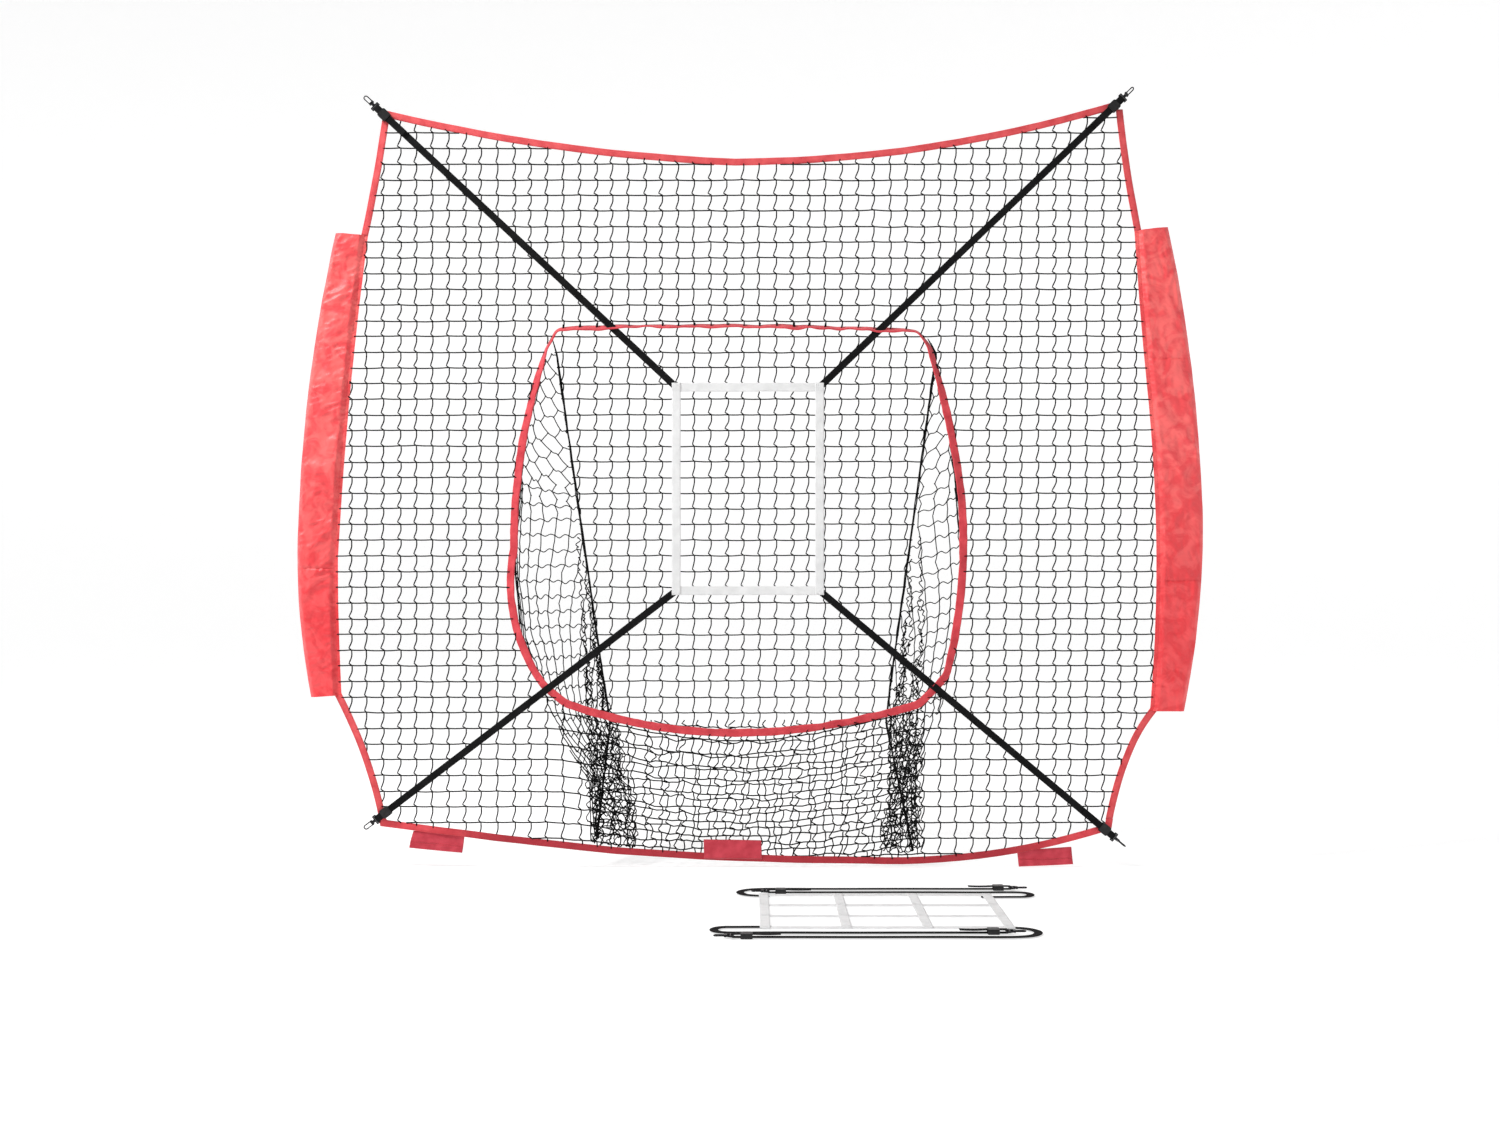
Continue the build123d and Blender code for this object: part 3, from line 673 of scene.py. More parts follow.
net_outline, mouth = front_loops("front_net")[:2]
mouth_low, mouth_high = mouth.min(axis=0), mouth.max(axis=0)
mouth_mid = (mouth_low + mouth_high) / 2
SAG_HALF = 0.52
hem_line = net_outline[net_outline[:, 1] < 0.15]
hem_line = hem_line[np.argsort(hem_line[:, 0])]


def hem_height(x):
    """The lowest height at which twine is hidden behind the hem."""
    return np.interp(x, hem_line[:, 0], hem_line[:, 1]) - HEM_COVER


def crumple(flat, seed, size):
    """Shifts that make slack netting wander and curl, in the net's plane."""
    return np.array([
        (wander(x * 20, z * 15, seed=seed) + 0.35 * wander(x * 58, z * 52, seed=seed + 0.5),
         wander(x * 16, z * 21, seed=seed + 1) + 0.45 * wander(x * 61, z * 44, seed=seed + 1.5))
        for x, z in flat]) * size


def front_sag(flat):
    """Below the mouth the rows hang nearly parallel to its rim."""
    across = np.clip(np.abs(flat[:, 0] - mouth_mid[0]) / SAG_HALF, 0, 1)
    share = np.clip((flat[:, 1] - 0.02) / (mouth_low[1] + 0.08), 0, 1)
    under = np.clip((mouth_mid[1] - flat[:, 1]) / 0.3, 0, 1)
    moved = flat.copy()
    moved[:, 1] -= (0.026 + 0.058 * share) * (1 - across ** 2) ** 1.5 * under
    loose = (1 - across ** 6) * np.clip((mouth_low[1] + 0.1 - flat[:, 1]) / 0.1, 0, 1)
    moved += crumple(flat, 3, (0.010, 0.008)) * loose[:, None]
    return moved


front_lines, front_ties = strands(
    ((net_outline[:, 0].min(), net_outline[:, 0].max()),
     (net_outline[:, 1].min(), net_outline[:, 1].max())),
    lambda flat: inside(flat, net_outline) & ~inside(flat, mouth),
    lambda flat, depth: np.column_stack([flat[:, 0], depth, flat[:, 1]]),
    front_sag, seed=11)
net_piece("front_twine_net", "front_net", front_lines, front_ties)


def seam_line(side, heights):
    """X and Y of a gusset's back edge at each height, held level past its ends."""
    node = f"pocket_{side}_gusset"
    low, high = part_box(node)
    return ends_by_height(node, np.clip(heights, low[2] + 0.002, high[2] - 0.002), 1)[1]


class Panel:
    """A sloping pocket panel: its plane, its seams, and the way to carry points onto it.
    It runs past its CAD panel by the lengths over and under, to meet what it is sewn to."""

    def __init__(self, node, over, under):
        low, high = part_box(node)
        inner = np.linspace(low[2] + 0.003, high[2] - 0.003, 60)
        left, right = ends_by_height(node, inner, 0)
        self.slope, self.start = np.polyfit(inner, (left[:, 1] + right[:, 1]) / 2, 1)
        self.low, self.high = low[2] - under, high[2] + over
        self.heights = np.linspace(self.low, self.high, 60)
        self.left = seam_line("left", self.heights)[:, 0]
        self.right = seam_line("right", self.heights)[:, 0]

    def reach(self, flat):
        """How much further than the net's plane the panel lies along each line of sight."""
        rise = flat[:, 1] - CAMERA_HEIGHT
        return ((self.start + self.slope * CAMERA_HEIGHT + CAMERA_DISTANCE)
                / (CAMERA_DISTANCE - self.slope * rise))

    def place(self, flat, depth):
        far = self.reach(flat)
        return np.column_stack([flat[:, 0] * far, (far - 1) * CAMERA_DISTANCE + depth,
                                CAMERA_HEIGHT + (flat[:, 1] - CAMERA_HEIGHT) * far])

    def keep(self, flat):
        at = self.place(flat, 0)
        under_corners = (at[:, 2] < CORNER_Z) | inside(flat, mouth)
        return ((at[:, 2] > np.maximum(self.low, hem_height(at[:, 0])))
                & (at[:, 2] < self.high) & under_corners
                & (at[:, 0] > np.interp(at[:, 2], self.heights, self.left))
                & (at[:, 0] < np.interp(at[:, 2], self.heights, self.right)))


CORNER_Z = mouth_high[1] - 0.13
back = Panel("pocket_back_net", over=mouth_high[1] - 0.004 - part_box("pocket_back_net")[1].z,
             under=0.020)
floor = Panel("pocket_floor_net", over=0.008, under=0.006)


def floor_sag(flat):
    across = np.clip(np.abs(flat[:, 0] - mouth_mid[0]) / 0.5, 0, 1)
    moved = flat.copy()
    moved[:, 1] -= 0.020 + (0.028 + 0.034 * flat[:, 1] / 0.4) * (1 - across ** 2)
    return moved + crumple(flat, 8, (0.014, 0.011)) + (0.018, 0)


back_lines, back_ties = strands(((-0.58, 0.58), (0.36, 1.52)), back.keep, back.place,
                                lambda flat: flat, seed=12)
net_piece("pocket_back_twine_net", "pocket_back_net", back_lines, back_ties)
floor_lines, floor_ties = strands(((-0.52, 0.52), (-0.02, 0.52)), floor.keep, floor.place,
                                  floor_sag, seed=13, sway=1.3)
net_piece("pocket_floor_twine_net", "pocket_floor_net", floor_lines, floor_ties)


def smooth_line(points, steps):
    """A line of points with extra ones rounded in between (Catmull-Rom)."""
    points = np.asarray(points, float)
    padded = np.concatenate([[2 * points[0] - points[1]], points, [2 * points[-1] - points[-2]]])
    out = []
    for k in range(1, len(padded) - 2):
        a, b, c, d = padded[k - 1:k + 3]
        for step in range(steps):
            t = step / steps
            out.append(0.5 * (2 * b + (c - a) * t + (2 * a - 5 * b + 4 * c - d) * t ** 2
                              + (3 * b - a - 3 * c + d) * t ** 3))
    out.append(points[-1])
    return np.array(out)


def curved_link(start, stop, share, first, second, steps):
    """A strand from one knot to the next one, shifted by first and by second on its way."""
    return smooth_line([start, start * (1 - share) + stop * share + first,
                        start * share + stop * (1 - share) + second, stop], steps)


def gathered_slack(side, seed, edge, deep):
    """The gussets' spare netting, crumpled in layers in front of the seam at the back.
    edge and deep give the seam's X and Y at a height."""
    sign = -1 if side == "left" else 1
    chance = random.Random(seed)
    spots, lines = {}, []
    for fold in range(GATHER_FOLDS):
        rank = fold * 7 % GATHER_FOLDS / (GATHER_FOLDS - 1)
        top = 0.34 + 0.61 * (1 - rank) ** 2.2
        share = (fold + 0.5) / GATHER_FOLDS
        share += 0.04 * math.sin(share * 6 * math.pi)
        layer = fold % GATHER_LAYERS
        for row in range(int(0.95 / GATHER_FALL)):
            height = 0.95 - (row + layer / GATHER_LAYERS) * GATHER_FALL + chance.gauss(0, 0.005)
            if height > top:
                continue
            out = np.interp(height, GATHER_Z, GATHER_OUT[side])
            width = out + np.interp(height, GATHER_Z, GATHER_IN[side])
            loose = min(width / 0.06, 1)
            x = edge(height) + sign * (out - width * share)
            x += loose * (0.008 * wander(height * 15, fold * 3.7, seed=seed)
                          + chance.gauss(0, 0.0035))
            if height < hem_height(x):
                continue
            far = deep(height)
            lie = far * (0.40 + 0.55 * layer / GATHER_LAYERS)
            lie += 0.008 * wander(height * 12, fold, seed=2)
            spots[fold, row] = np.array([x, min(max(lie, 0.010), max(far - 0.005, 0.010)), height])
    for (fold, row), spot in spots.items():
        below = spots.get((fold, row + 1))
        curl = chance.choice((-1, 1)) * chance.uniform(0.002, 0.007)
        if below is not None:
            lift = np.array([curl, 0, chance.gauss(0, 0.003)])
            lines.append(curved_link(spot, below, 0.3, lift, -lift, 4))
        beside = spots.get((fold + GATHER_LAYERS, row))
        if beside is not None and chance.random() < 0.85:
            dip = np.array([0, 0, chance.uniform(-0.010, 0.007)])
            lines.append(curved_link(spot, beside, 0.35, dip, -dip * 0.6, 4))
    return lines, list(spots.values())


def gusset_net(side, seed):
    """A side of the pocket: loose netting that hangs from the rim and is laced to the back."""
    node = f"pocket_{side}_gusset"
    sign = -1 if side == "left" else 1
    low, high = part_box(node)
    chance = random.Random(seed)
    heights = np.linspace(high[2] - 0.004, low[2] + 0.004, 120)
    front, rear = ends_by_height(node, heights, 1)
    # below the rim the slack front edge is drawn in towards the middle
    front[:, 0] -= sign * GUSSET_PULL[side] * np.interp(heights, (0.014, 0.235, 0.36), (0, 1, 0))
    reach = np.linalg.norm(rear - front, axis=1)
    pitch = GUSSET_PITCH[side]

    def index(height):
        k = len(heights) - 1 - np.searchsorted(heights[::-1], height)
        return min(max(k, 0), len(heights) - 1)

    def at(height, depth):
        """A point of the slack net at a height and a distance from the rim, in space."""
        k = index(height)
        part = min(depth / max(reach[k], 1e-3), 1.0)
        x, y = front[k] + (rear[k] - front[k]) * part
        slack = math.sin(part ** 0.7 * math.pi) * reach[k] * min(reach[k] / 0.12, 1)
        slack *= clamped((height - SLACK_Z) / 0.34)
        x += sign * 0.15 * slack + 0.004 * wander(depth * 18, height * 9, seed=seed)
        y -= 0.02 * slack
        return np.array([x, y, height])

    def offset(height):
        """How far the columns have moved away from the rim's top corner at a height."""
        outward = abs(front[index(height), 0] - front[0, 0])
        return outward / 0.8 + 0.25 * (high[2] - max(height, COMB_Z[0]))

    spots = {}
    for i in range(-8, int(reach.max() / pitch) + 2):
        for j in range(2 * int((high[2] - low[2]) / PITCH_Z) + 6):
            level = high[2] + 0.02 - j * PITCH_Z / 2
            upper = clamped((level - COMB_Z[0]) / (COMB_Z[1] - COMB_Z[0]))
            flip = 1 if (i + j) % 2 == 0 else -1
            depth = i * pitch + offset(level) + flip * (0.0015 + 0.0075 * upper)
            depth += chance.gauss(0, 0.0014)
            steep = 0.5 * min(max(depth, 0), 0.06) if side == "left" else 0.26 * max(depth, 0)
            height = level - steep * (1 - upper) - 0.30 * max(depth, 0) * upper
            height += chance.gauss(0, 0.0016)
            if not low[2] + 0.006 < height < high[2] - 0.002:
                continue
            if not -pitch / 2 < depth < reach[index(height)] + 0.016:
                continue
            spot = at(height, max(depth, 0.0))
            if height > hem_height(spot[0]):
                spots[i, j] = spot
    lines = []
    for (i, j), spot in spots.items():
        upper = clamped((spot[2] - COMB_Z[0]) / (COMB_Z[1] - COMB_Z[0]))
        below, beside = spots.get((i, j + 1)), spots.get((i + 1, j))
        if below is not None:
            bend = np.array([0.6, 0.4, 0]) * ((1 if (i + j) % 2 == 0 else -1) * 0.0018 * upper
                                              + chance.gauss(0, 0.0008))
            lines.append(smooth_line([spot, (spot + below) / 2 + bend, below], 3))
        linked = (i + j) % 2 == 0 if upper > 0.5 else j % 2 == 0
        if linked and beside is not None:
            swing = 0.0060 * (1 - 0.7 * upper)
            first = np.array([0, 0, -(swing + chance.gauss(0, 0.0010))])
            second = np.array([0, 0, 0.5 * swing + chance.gauss(0, 0.0010)])
            lines.append(curved_link(spot, beside, 0.32, first, second, 3))
    # strands drawn together along the rim at mid height
    for strand in range(3):
        line = []
        for height in np.arange(1.16 - 0.05 * strand, 0.50, -0.016):
            fan = clamped((1.16 - height) / 0.10) * clamped((height - SLACK_Z) / 0.10)
            depth = 0.010 + (0.006 + 0.0125 * strand) * fan
            line.append(at(height, depth + 0.0018 * math.sin(height * 140 + strand * 2)))
        lines.append(smooth_line(line, 2))
    # the seam that laces the gusset to the back and the floor, from the corner of the rim down
    seam = []
    corner = np.array([front[0, 0] - sign * 0.010, 0.004, heights[0] + 0.016])
    for lace in range(4):
        points = [corner]
        for k in range(2, len(heights), 2):
            x, y = rear[k]
            if heights[k] < hem_height(x):
                break
            shift = 0.0022 * wander(heights[k] * 24, lace * 3.1, seed=seed)
            points.append((x + shift + sign * 0.0011 * (lace - 1.5), y - 0.003 * lace, heights[k]))
        seam.append(smooth_line(points, 2))
    folds, fold_ties = gathered_slack(
        side, seed + 1, lambda height: np.interp(height, heights[::-1], rear[::-1, 0]),
        lambda height: np.interp(height, heights[::-1], rear[::-1, 1]))
    ties = [spot for (i, j), spot in spots.items() if spot[2] > COMB_Z[0] or j % 2 == 0]
    verts, faces = joined(tubes(lines + folds, GUSSET_TWINE_R), tubes(seam, LACE_R),
                          knots(ties + fold_ties, GUSSET_KNOT_SIZE))
    return piece(f"pocket_{side}_twine_gusset", verts, faces, [twine_mat], "net", "black_net",
                 [node])


gusset_net("left", 21)
gusset_net("right", 31)


# ---------------------------------------------------------------- sewn bands

def band(name, node, body, slot, mats, upright=False, waves=0.0012, stitch_rows=(0.16, 0.84),
         steps_per_m=130, across_steps=12, edge_power=6,
         spread=0.0):
    """A sewn strip between two edges: rounded edges, grooves and thread along its stitch rows."""
    low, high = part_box(node)
    left, right = long_sides(front_loops(node)[0], upright)
    count = max(int(max(len_of(left), len_of(right)) * steps_per_m), 8)
    left, right = resample(left, count), resample(right, count)
    wider = unit(right - left) * spread
    left, right = left - wider, right + wider
    middle_y = (low[1] + high[1]) / 2
    thick = high[1] - low[1]
    across = np.linspace(0, 1, across_steps + 1)
    grooves = sum(np.exp(-((across - row) / 0.045) ** 2) for row in stitch_rows)
    half = thick / 2 * (1 - np.abs(2 * across - 1) ** edge_power) ** 0.5 * (1 - 0.28 * grooves)
    half = np.maximum(half, thick * 0.10)

    def surface(k, share, face):
        """A point of the strip: k along it, share across it, face -1 front or 1 back."""
        flat = left[k] * (1 - share) + right[k] * share
        run = k / steps_per_m
        ripple = waves * wander(run * 14, share * 1.5, seed=len(node) * 0.7)
        edge = unit(right[k] - left[k]) * waves * 0.8 * wander(run * 9, 5.0, seed=len(node))
        swell = np.interp(share, across, half)
        return np.array([flat[0] + edge[0], middle_y + face * swell + ripple, flat[1] + edge[1]])

    verts = []
    for k in range(count):
        verts.extend([surface(k, share, -1) for share in across])
        verts.extend([surface(k, share, 1) for share in across[::-1][1:-1]])
    cols = 2 * across_steps
    faces = ring_quads(count, cols, flip=True).tolist()
    faces.append(tuple(range(cols)))
    faces.append(tuple(range((count - 1) * cols, count * cols))[::-1])
    cloth = len(faces)
    length = (len_of(left) + len_of(right)) / 2
    stitches = max(int(length / STITCH_GAP), 1)
    for row in stitch_rows:
        for face in (-1, 1):
            for s in range(stitches):
                place = (s + 0.5) / stitches * (count - 1)
                k = min(int(place), count - 2)
                part = place - k
                spot = surface(k, row, face) * (1 - part) + surface(k + 1, row, face) * part
                along = unit(surface(k + 1, row, face) - surface(k, row, face))
                add_stitch(verts, faces, spot + np.array([0, face * 0.0001, 0]), along)
    made = piece(name, verts, faces, mats, body, slot, [node], cloth)
    return made


def add_stitch(verts, faces, spot, along, length=0.0036, radius=0.00045):
    """One stitch of thread, tapered at both ends."""
    side = unit(np.cross(along, (0, 1, 0)) if abs(along[1]) < 0.9 else np.cross(along, (1, 0, 0)))
    up = np.cross(along, side)
    base = len(verts)
    verts.extend([spot - along * length / 2, spot + side * radius, spot + up * radius,
                  spot - side * radius, spot - up * radius, spot + along * length / 2])
    for k in range(4):
        after = 1 + (k + 1) % 4
        faces.append((base, base + after, base + 1 + k))
        faces.append((base + 5, base + 1 + k, base + after))


for node, upright in (("top_border", False), ("upper_left_border", True),
                      ("upper_right_border", True), ("lower_left_border", True),
                      ("lower_right_border", True)):
    band(f"{node}_binding", node, "net", "red_binding", [binding_mat, red_thread], upright)
band("bottom_hem_binding", "bottom_hem", "net", "crimson_fabric", [hem_mat, red_thread])

for node, body, sewn_to in (("left_tab", "net", "bottom_hem_binding"),
                            ("left_tab_flap", "left_tab_flap", "left_tab_fabric"),
                            ("right_tab", "net", "bottom_hem_binding"),
                            ("right_tab_flap", "right_tab_flap", "right_tab_fabric"),
                            ("center_tab", "center_tab", "bottom_hem_binding")):
    band(f"{node}_fabric", node, body, "crimson_fabric", [crimson_mat, red_thread],
         stitch_rows=(0.07, 0.93), waves=0.0016, edge_power=12, across_steps=18, steps_per_m=260,
         spread=0.0008)


# ---------------------------------------------------------------- pole sleeves

def crease(x, z, turn, stretch, scale, seed):
    """A ridge of pulled cloth, long in one direction."""
    along = x * math.cos(turn) + z * math.sin(turn)
    across = -x * math.sin(turn) + z * math.cos(turn)
    return 1 - 2 * abs(wander(along * scale / stretch, across * scale, seed=seed))


def pole_sleeve(side):
    """A flat nylon tunnel, open at both ends, stitched along the net and creased by its pull."""
    node = f"{side}_pole_sleeve"
    sides = long_sides(front_loops(node)[0], True)
    outer, inner = sides if side == "left" else sides[::-1]
    outer, inner = resample(outer, SLEEVE_ROWS), resample(inner, SLEEVE_ROWS)
    seed = 40 if side == "left" else 50
    # finer steps near both edges
    shares = 0.5 - 0.5 * np.cos(np.linspace(0, math.pi, SLEEVE_COLS + 1))

    def point(k, share, face):
        width = np.linalg.norm(inner[k] - outer[k])
        flat = outer[k] * (1 - share) + inner[k] * share
        x, z = flat
        from_net = (1 - share) * width
        from_fold = share * width
        open_part = clamped((from_net - SEAM_BAND) / 0.009)
        swell = 0.0012 + 0.0048 * open_part * (1 - math.exp(-from_fold / 0.012))
        swell *= min(1, math.sqrt(max(from_fold, 0) / 0.004 + 0.02))
        if from_net < 0.002:
            swell *= 0.6
        soft = open_part * min(from_fold / 0.012, 1)
        turn = 0.9 if side == "left" else -0.9
        fold = sum(depth * crease(x, z, turn + more, stretch, scale, seed + start + face)
                   for depth, more, stretch, scale, start in SLEEVE_CREASES)
        drift = 0.0032 * wander(x * 9, z * 5, seed=seed + 9)
        pucker = 0.0007 * math.sin(z * 2 * math.pi / 0.0135 + 5 * wander(z * 8, seed=seed + 6))
        pucker *= math.exp(-abs(from_net - SEAM_BAND) / 0.010)
        for height in SLEEVE_SEAMS[side]:
            dip = math.exp(-((z - height - 0.004 * wander(x * 12, seed=seed)) / 0.0032) ** 2)
            swell *= 1 - 0.65 * dip * min(open_part + 0.2, 1)
            near = math.exp(-abs(z - height) / 0.02)
            pucker += 0.0009 * near * math.sin(x * 2 * math.pi / 0.017 + 3) * soft
        lift = swell + soft * fold + pucker * min(from_fold / 0.01, 1)
        ripple = 0.0011 * wander(z * 13, 2.0, seed=seed + 8) * (1 if share < 0.5 else 0.4)
        return np.array([x + ripple, face * max(lift, 0.0007) + drift * min(from_fold / 0.02, 1)
                         * min(from_net / 0.02, 1), z])

    verts = []
    for k in range(SLEEVE_ROWS):
        verts.extend([point(k, share, -1) for share in shares])
        verts.extend([point(k, share, 1) for share in shares[::-1][1:-1]])
    faces = ring_quads(SLEEVE_ROWS, 2 * SLEEVE_COLS, flip=True).tolist()
    cloth = len(faces)
    for offset in (0.0035, SEAM_BAND - 0.003):
        for face in (-1, 1):
            count = int(len_of(inner) / STITCH_GAP)
            for s in range(count):
                k = min(int((s + 0.5) / count * (SLEEVE_ROWS - 1)), SLEEVE_ROWS - 2)
                width = np.linalg.norm(inner[k] - outer[k])
                spot = point(k, 1 - offset / width, face)
                ahead = point(k + 1, 1 - offset / width, face)
                add_stitch(verts, faces, spot + np.array([0, face * 0.0002, 0]),
                           unit(ahead - spot))
    made = piece(f"{side}_pole_sleeve_nylon", verts, faces, [sleeve_mat, red_thread], "net",
                 "red_nylon", [node], cloth)


for side in ("left", "right"):
    pole_sleeve(side)


# ---------------------------------------------------------------- rim of the pocket

def ring_line(node, count):
    """The middle line of a ring-shaped node, going round from its top."""
    outer, inner = front_loops(node)[:2]
    centre = (outer.min(axis=0) + outer.max(axis=0)) / 2
    angles = np.linspace(0, 2 * math.pi, count, endpoint=False)
    mids = []
    for loop in (outer, inner):
        away = loop - centre
        bearing = np.arctan2(away[:, 0], away[:, 1]) % (2 * math.pi)
        order = np.argsort(bearing)
        reach = np.linalg.norm(away, axis=1)[order]
        mids.append(np.interp(angles, bearing[order], reach, period=2 * math.pi))
    reach = (mids[0] + mids[1]) / 2
    return centre + np.column_stack([np.sin(angles) * reach, np.cos(angles) * reach])


def pocket_rim():
    """Ribbed elastic sewn round the mouth: on edge at the top, flatter at the sides and below."""
    flat = ring_line("pocket_rim", 900)
    flat = resample(np.concatenate([flat, flat[:1]]), 901)[:-1]
    flat = sum(np.roll(flat, shift, axis=0) for shift in range(-2, 3)) / 5
    high, low = flat[:, 1].max(), flat[:, 1].min()
    line, wide = [], []
    ahead = unit(np.roll(flat, -1, axis=0) - np.roll(flat, 1, axis=0))
    for k, (x, z) in enumerate(flat):
        share = (z - low) / (high - low)
        top = clamped((share - 0.72) / 0.24)
        normal = np.array([-ahead[k][1], ahead[k][0]])
        sway, quick, lean = (wander(math.cos(2 * math.pi * k / len(flat)) * scale,
                                    math.sin(2 * math.pi * k / len(flat)) * scale, seed=seed)
                             for scale, seed in ((6, 61), (17, 62), (11, 63)))
        turn = 0.22 + 0.80 * top + 0.42 * sway * (1 - 0.3 * top) + 0.25 * quick
        shift = 0.0032 * quick * (0.35 + 0.65 * top)
        line.append((x + normal[0] * shift, -0.0010 + 0.0015 * lean, z + normal[1] * shift))
        wide.append((normal[0] * math.cos(turn), math.sin(turn), normal[1] * math.cos(turn)))
    width = np.array([RIM_W * (1 + 0.10 * wander(k * 0.21, seed=64)) for k in range(len(flat))])
    piece("pocket_rim_elastic",
          *webbing(line, wide, width[:, None, None], RIM_T, closed=True),
          [elastic_mat], "net", "red_elastic", ["pocket_rim"])


pocket_rim()


# ---------------------------------------------------------------- strike zone, straps, targets

def strip_line(low, high, axis, seed, wave=0.0009):
    """A straight strip's middle line inside its box, with a little slack in it."""
    low, high = np.array(low), np.array(high)
    middle = (low + high) / 2
    count = int((high[axis] - low[axis]) / 0.006)
    line = np.repeat(middle[None], count + 1, axis=0)
    line[:, axis] = np.linspace(low[axis], high[axis], count + 1)
    for k in range(count + 1):
        fade = math.sin(math.pi * k / count)
        side = 0 if axis == 2 else (2 if middle[1] > -0.2 else 1)
        line[k][side] += wave * fade * wander(line[k][axis] * 9, seed=seed)
    return line


def cross_stitches(verts, faces, centre, across, up, out, half):
    """A sewn box with a cross in it, on a strip's face."""
    corners = [(-half, -half), (half, -half), (half, half), (-half, half)]
    runs = [(corners[k], corners[(k + 1) % 4]) for k in range(4)]
    runs += [(corners[0], corners[2]), (corners[1], corners[3])]
    for start, stop in runs:
        start, stop = np.array(start), np.array(stop)
        count = int(np.linalg.norm(stop - start) / 0.0026)
        along = unit(across * (stop - start)[0] + up * (stop - start)[1])
        for s in range(count):
            flat = start + (stop - start) * (s + 0.5) / count
            add_stitch(verts, faces, centre + across * flat[0] + up * flat[1] + out, along,
                       0.0021, 0.0003)


def sewn_strips(name, boxes, axis, body, nodes, thick_axis, boxes_at=()):
    """White webbing in each box, with a sewn box at each place given."""
    parts = []
    for k, (low, high) in enumerate(boxes):
        size = np.array(high) - np.array(low)
        width_axis = np.zeros(3)
        flat_axes = [a for a in range(3) if a != axis and a != thick_axis]
        width_axis[flat_axes[0]] = 1
        line = strip_line(low, high, axis, seed=70 + k + axis)
        parts.append(webbing(line, width_axis, size[flat_axes[0]], size[thick_axis]))
    verts, faces = joined(*parts)
    verts, cloth = list(verts), len(faces)
    for spot in boxes_at:
        across = np.array((1.0, 0, 0))
        up = np.array((0, 0, 1.0)) if thick_axis == 1 else np.array((0, 1.0, 0))
        out = np.zeros(3)
        out[thick_axis] = -0.0001 if thick_axis == 1 else 0.0001
        cross_stitches(verts, faces, np.array(spot), across, up, out, 0.0095)
    piece(name, verts, faces, [webbing_mat, white_thread], body, "white_webbing", nodes, cloth)


zone = {part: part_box(f"zone_{part}_strip") for part in ("top", "bottom", "left", "right")}
middle_of = {part: (box[0] + box[1]) / 2 for part, box in zone.items()}
for part in ("top", "bottom"):
    sewn_strips(f"zone_{part}_webbing", [zone[part]], 0, "net", [f"zone_{part}_strip"], 1)
for part in ("left", "right"):
    corners = [(middle_of[part].x, zone[part][0].y, middle_of[end].z) for end in ("top", "bottom")]
    sewn_strips(f"zone_{part}_webbing", [zone[part]], 2, "net", [f"zone_{part}_strip"], 1,
                corners)


def spread_boxes(node, axis, count, width):
    """The boxes of equal strips spaced evenly across a node, along one axis."""
    low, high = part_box(node)
    boxes = []
    for k in range(count):
        start = low[axis] + (high[axis] - low[axis] - width) * k / (count - 1)
        one_low, one_high = list(low), list(high)
        one_low[axis], one_high[axis] = start, start + width
        boxes.append((one_low, one_high))
    return boxes


lying_across = spread_boxes("panel_cross_strips", 1, 4, STRIP_W)
lying_up = spread_boxes("panel_upright_strips", 0, 4, STRIP_W)
sewn_strips("panel_cross_webbing", lying_across, 0, "nine_hole_target", ["panel_cross_strips"], 2)
sewn_strips("panel_upright_webbing", lying_up, 1, "nine_hole_target", ["panel_upright_strips"], 2,
            [((up[0][0] + up[1][0]) / 2, (flat[0][1] + flat[1][1]) / 2, up[1][2])
             for up in lying_up for flat in lying_across])

for corner in CORNERS:
    swivel = joints[f"hook_{corner}_swivel"]
    bar, outward = np.array(swivel["pos_m"]), np.array(swivel["axis"], float)
    anchor = np.array([middle_of["left" if "left" in corner else "right"].x, 0,
                       middle_of["top" if "upper" in corner else "bottom"].z])
    turn = np.array(turned_end(bar, outward, (0, -1, 0), BAR_R, STRAP_TAIL))
    anchor[1] = turn[0][1]
    count = int(np.linalg.norm(turn[0] - anchor) / 0.008)
    lying = anchor + (turn[0] - anchor) * np.linspace(0, 1, count)[:, None]
    width_axis = np.cross(outward, (0, 1, 0))
    piece(f"strap_{corner}_webbing",
          *joined(webbing(lying, width_axis, STRAP_W, STRAP_T),
                  webbing(turn[1:], width_axis, STRAP_W, STRAP_T)),
          [strap_mat], "net", "black_elastic", [f"strap_{corner}"])


# ---------------------------------------------------------------- hardware kept from the frame

for node, obj in frame["nodes"].items():
    if obj.hide_render:
        continue
    finish = plastic_mat if "adjuster" in node else metal_mat
    for place in obj.material_slots:
        place.material = finish


# ---------------------------------------------------------------- floor and light

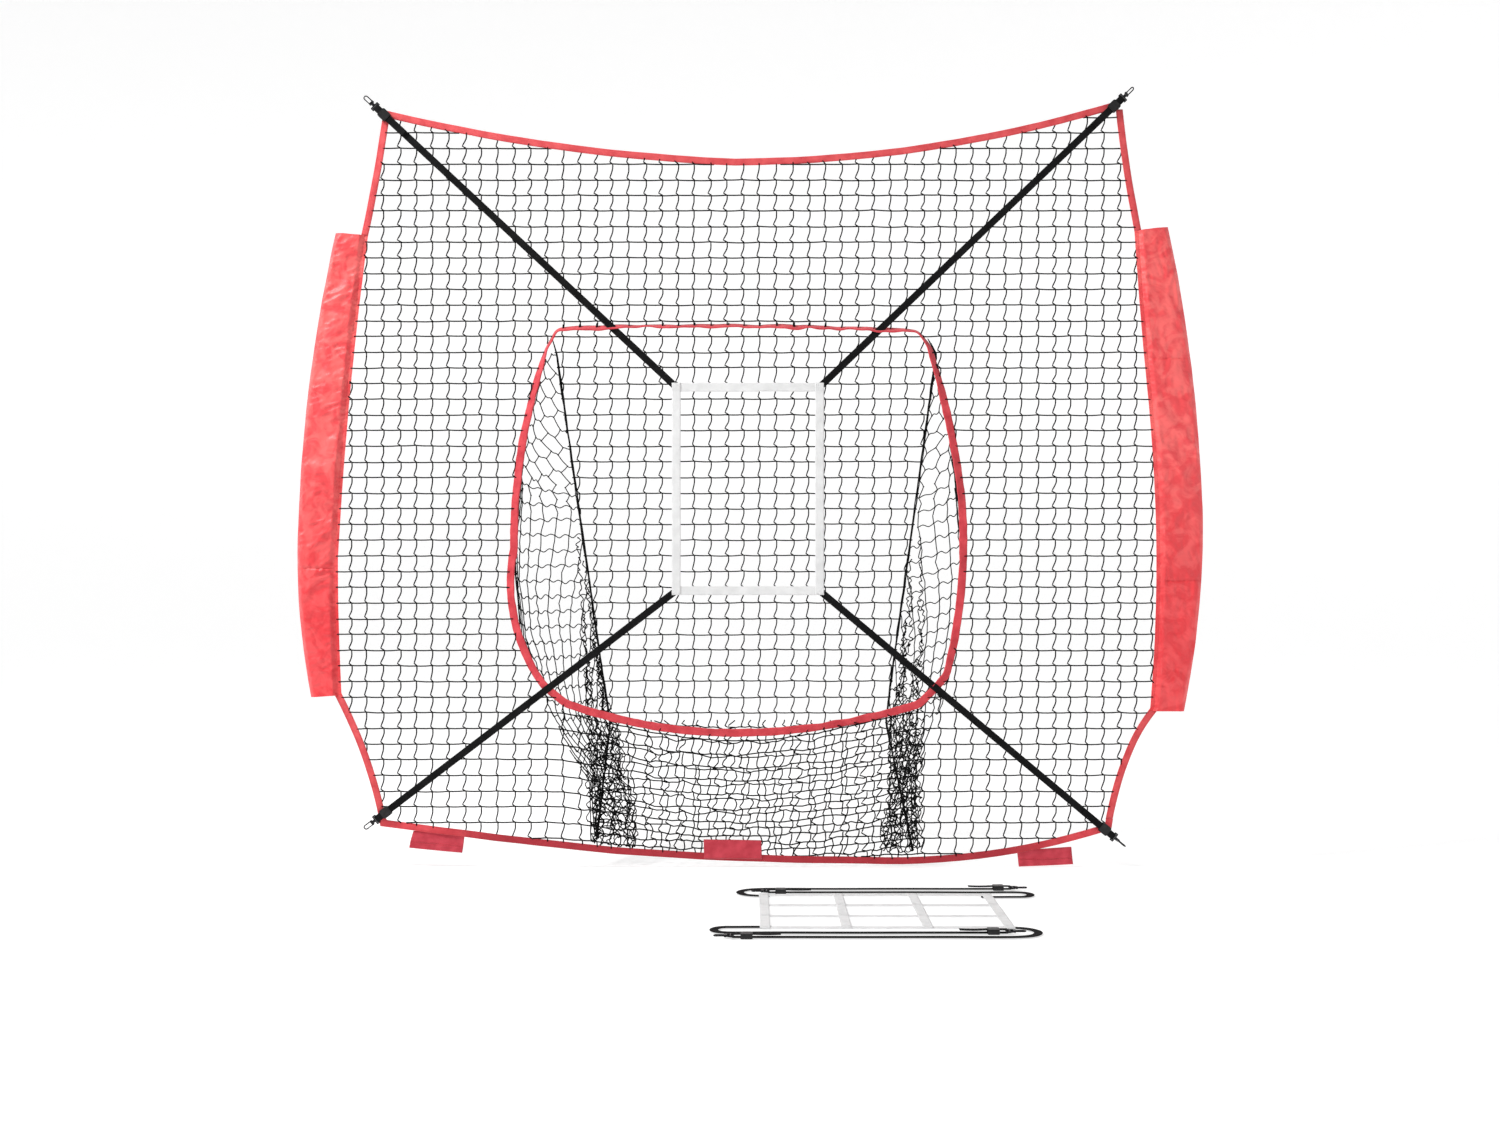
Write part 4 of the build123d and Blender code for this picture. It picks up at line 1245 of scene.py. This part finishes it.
def stage():
    """A round pale floor that curves up into a wall all round, brighter behind the net."""
    profile = [(reach, GROUND_Z - 0.0002) for reach in (0.5, 2.0, 4.0, 6.0, STAGE_R)]
    for step in range(1, 13):
        turn = step / 12 * math.pi / 2
        profile.append((STAGE_R + STAGE_BEND * math.sin(turn),
                        GROUND_Z + STAGE_BEND * (1 - math.cos(turn))))
    profile.append((STAGE_R + STAGE_BEND, STAGE_TOP))
    verts = [(0, 0, GROUND_Z - 0.0002)]
    for reach, height in profile:
        for k in range(STAGE_SIDES):
            turn = 2 * math.pi * k / STAGE_SIDES
            verts.append((reach * math.cos(turn), reach * math.sin(turn), height))
    faces = [(0, 1 + k, 1 + (k + 1) % STAGE_SIDES) for k in range(STAGE_SIDES)]
    faces += (1 + ring_quads(len(profile), STAGE_SIDES, flip=True)).tolist()
    nodes, links = floor_mat.node_tree.nodes, floor_mat.node_tree.links
    shader = nodes["Principled BSDF"]
    shader.inputs["Base Color"].default_value = (0.55, 0.55, 0.55, 1)
    shader.inputs["Roughness"].default_value = 0.9
    shader.inputs["Emission Color"].default_value = (1, 1, 1, 1)
    place = nodes.new("ShaderNodeTexCoord")
    apart = nodes.new("ShaderNodeSeparateXYZ")
    glow = nodes.new("ShaderNodeMapRange")
    glow.interpolation_type = "SMOOTHSTEP"
    for label, value in zip(("From Min", "From Max", "To Min", "To Max"), STAGE_GLOW):
        glow.inputs[label].default_value = value
    links.new(place.outputs["Object"], apart.inputs["Vector"])
    links.new(apart.outputs["Y"], glow.inputs["Value"])
    links.new(glow.outputs["Result"], shader.inputs["Emission Strength"])
    add_object("floor", smooth_mesh("floor", verts, faces, [floor_mat]))


def soft_light(name, place, aim, size, watts):
    data = bpy.data.lights.new(name, "AREA")
    data.shape = "RECTANGLE"
    data.size, data.size_y = size
    data.energy = watts
    obj = add_object(name, data)
    obj.location = place
    obj.rotation_euler = (Vector(aim) - Vector(place)).to_track_quat("-Z", "Y").to_euler()


stage()
soft_light("key", (-3.4, -1.9, 5.0), (0, 0, 1.0), (1.0, 1.0), 260)
soft_light("fill", (3.6, -4.2, 1.8), (0, 0, 1.0), (3.0, 3.0), 22)
soft_light("back", (0, 1.5, 4.8), (0, 0.2, 0.8), (4.0, 2.0), 40)
world = bpy.data.worlds.new("studio")
world.use_nodes = True
world.node_tree.nodes["Background"].inputs["Color"].default_value = (1, 1, 1, 1)
world.node_tree.nodes["Background"].inputs["Strength"].default_value = 0.14
bpy.context.scene.world = world
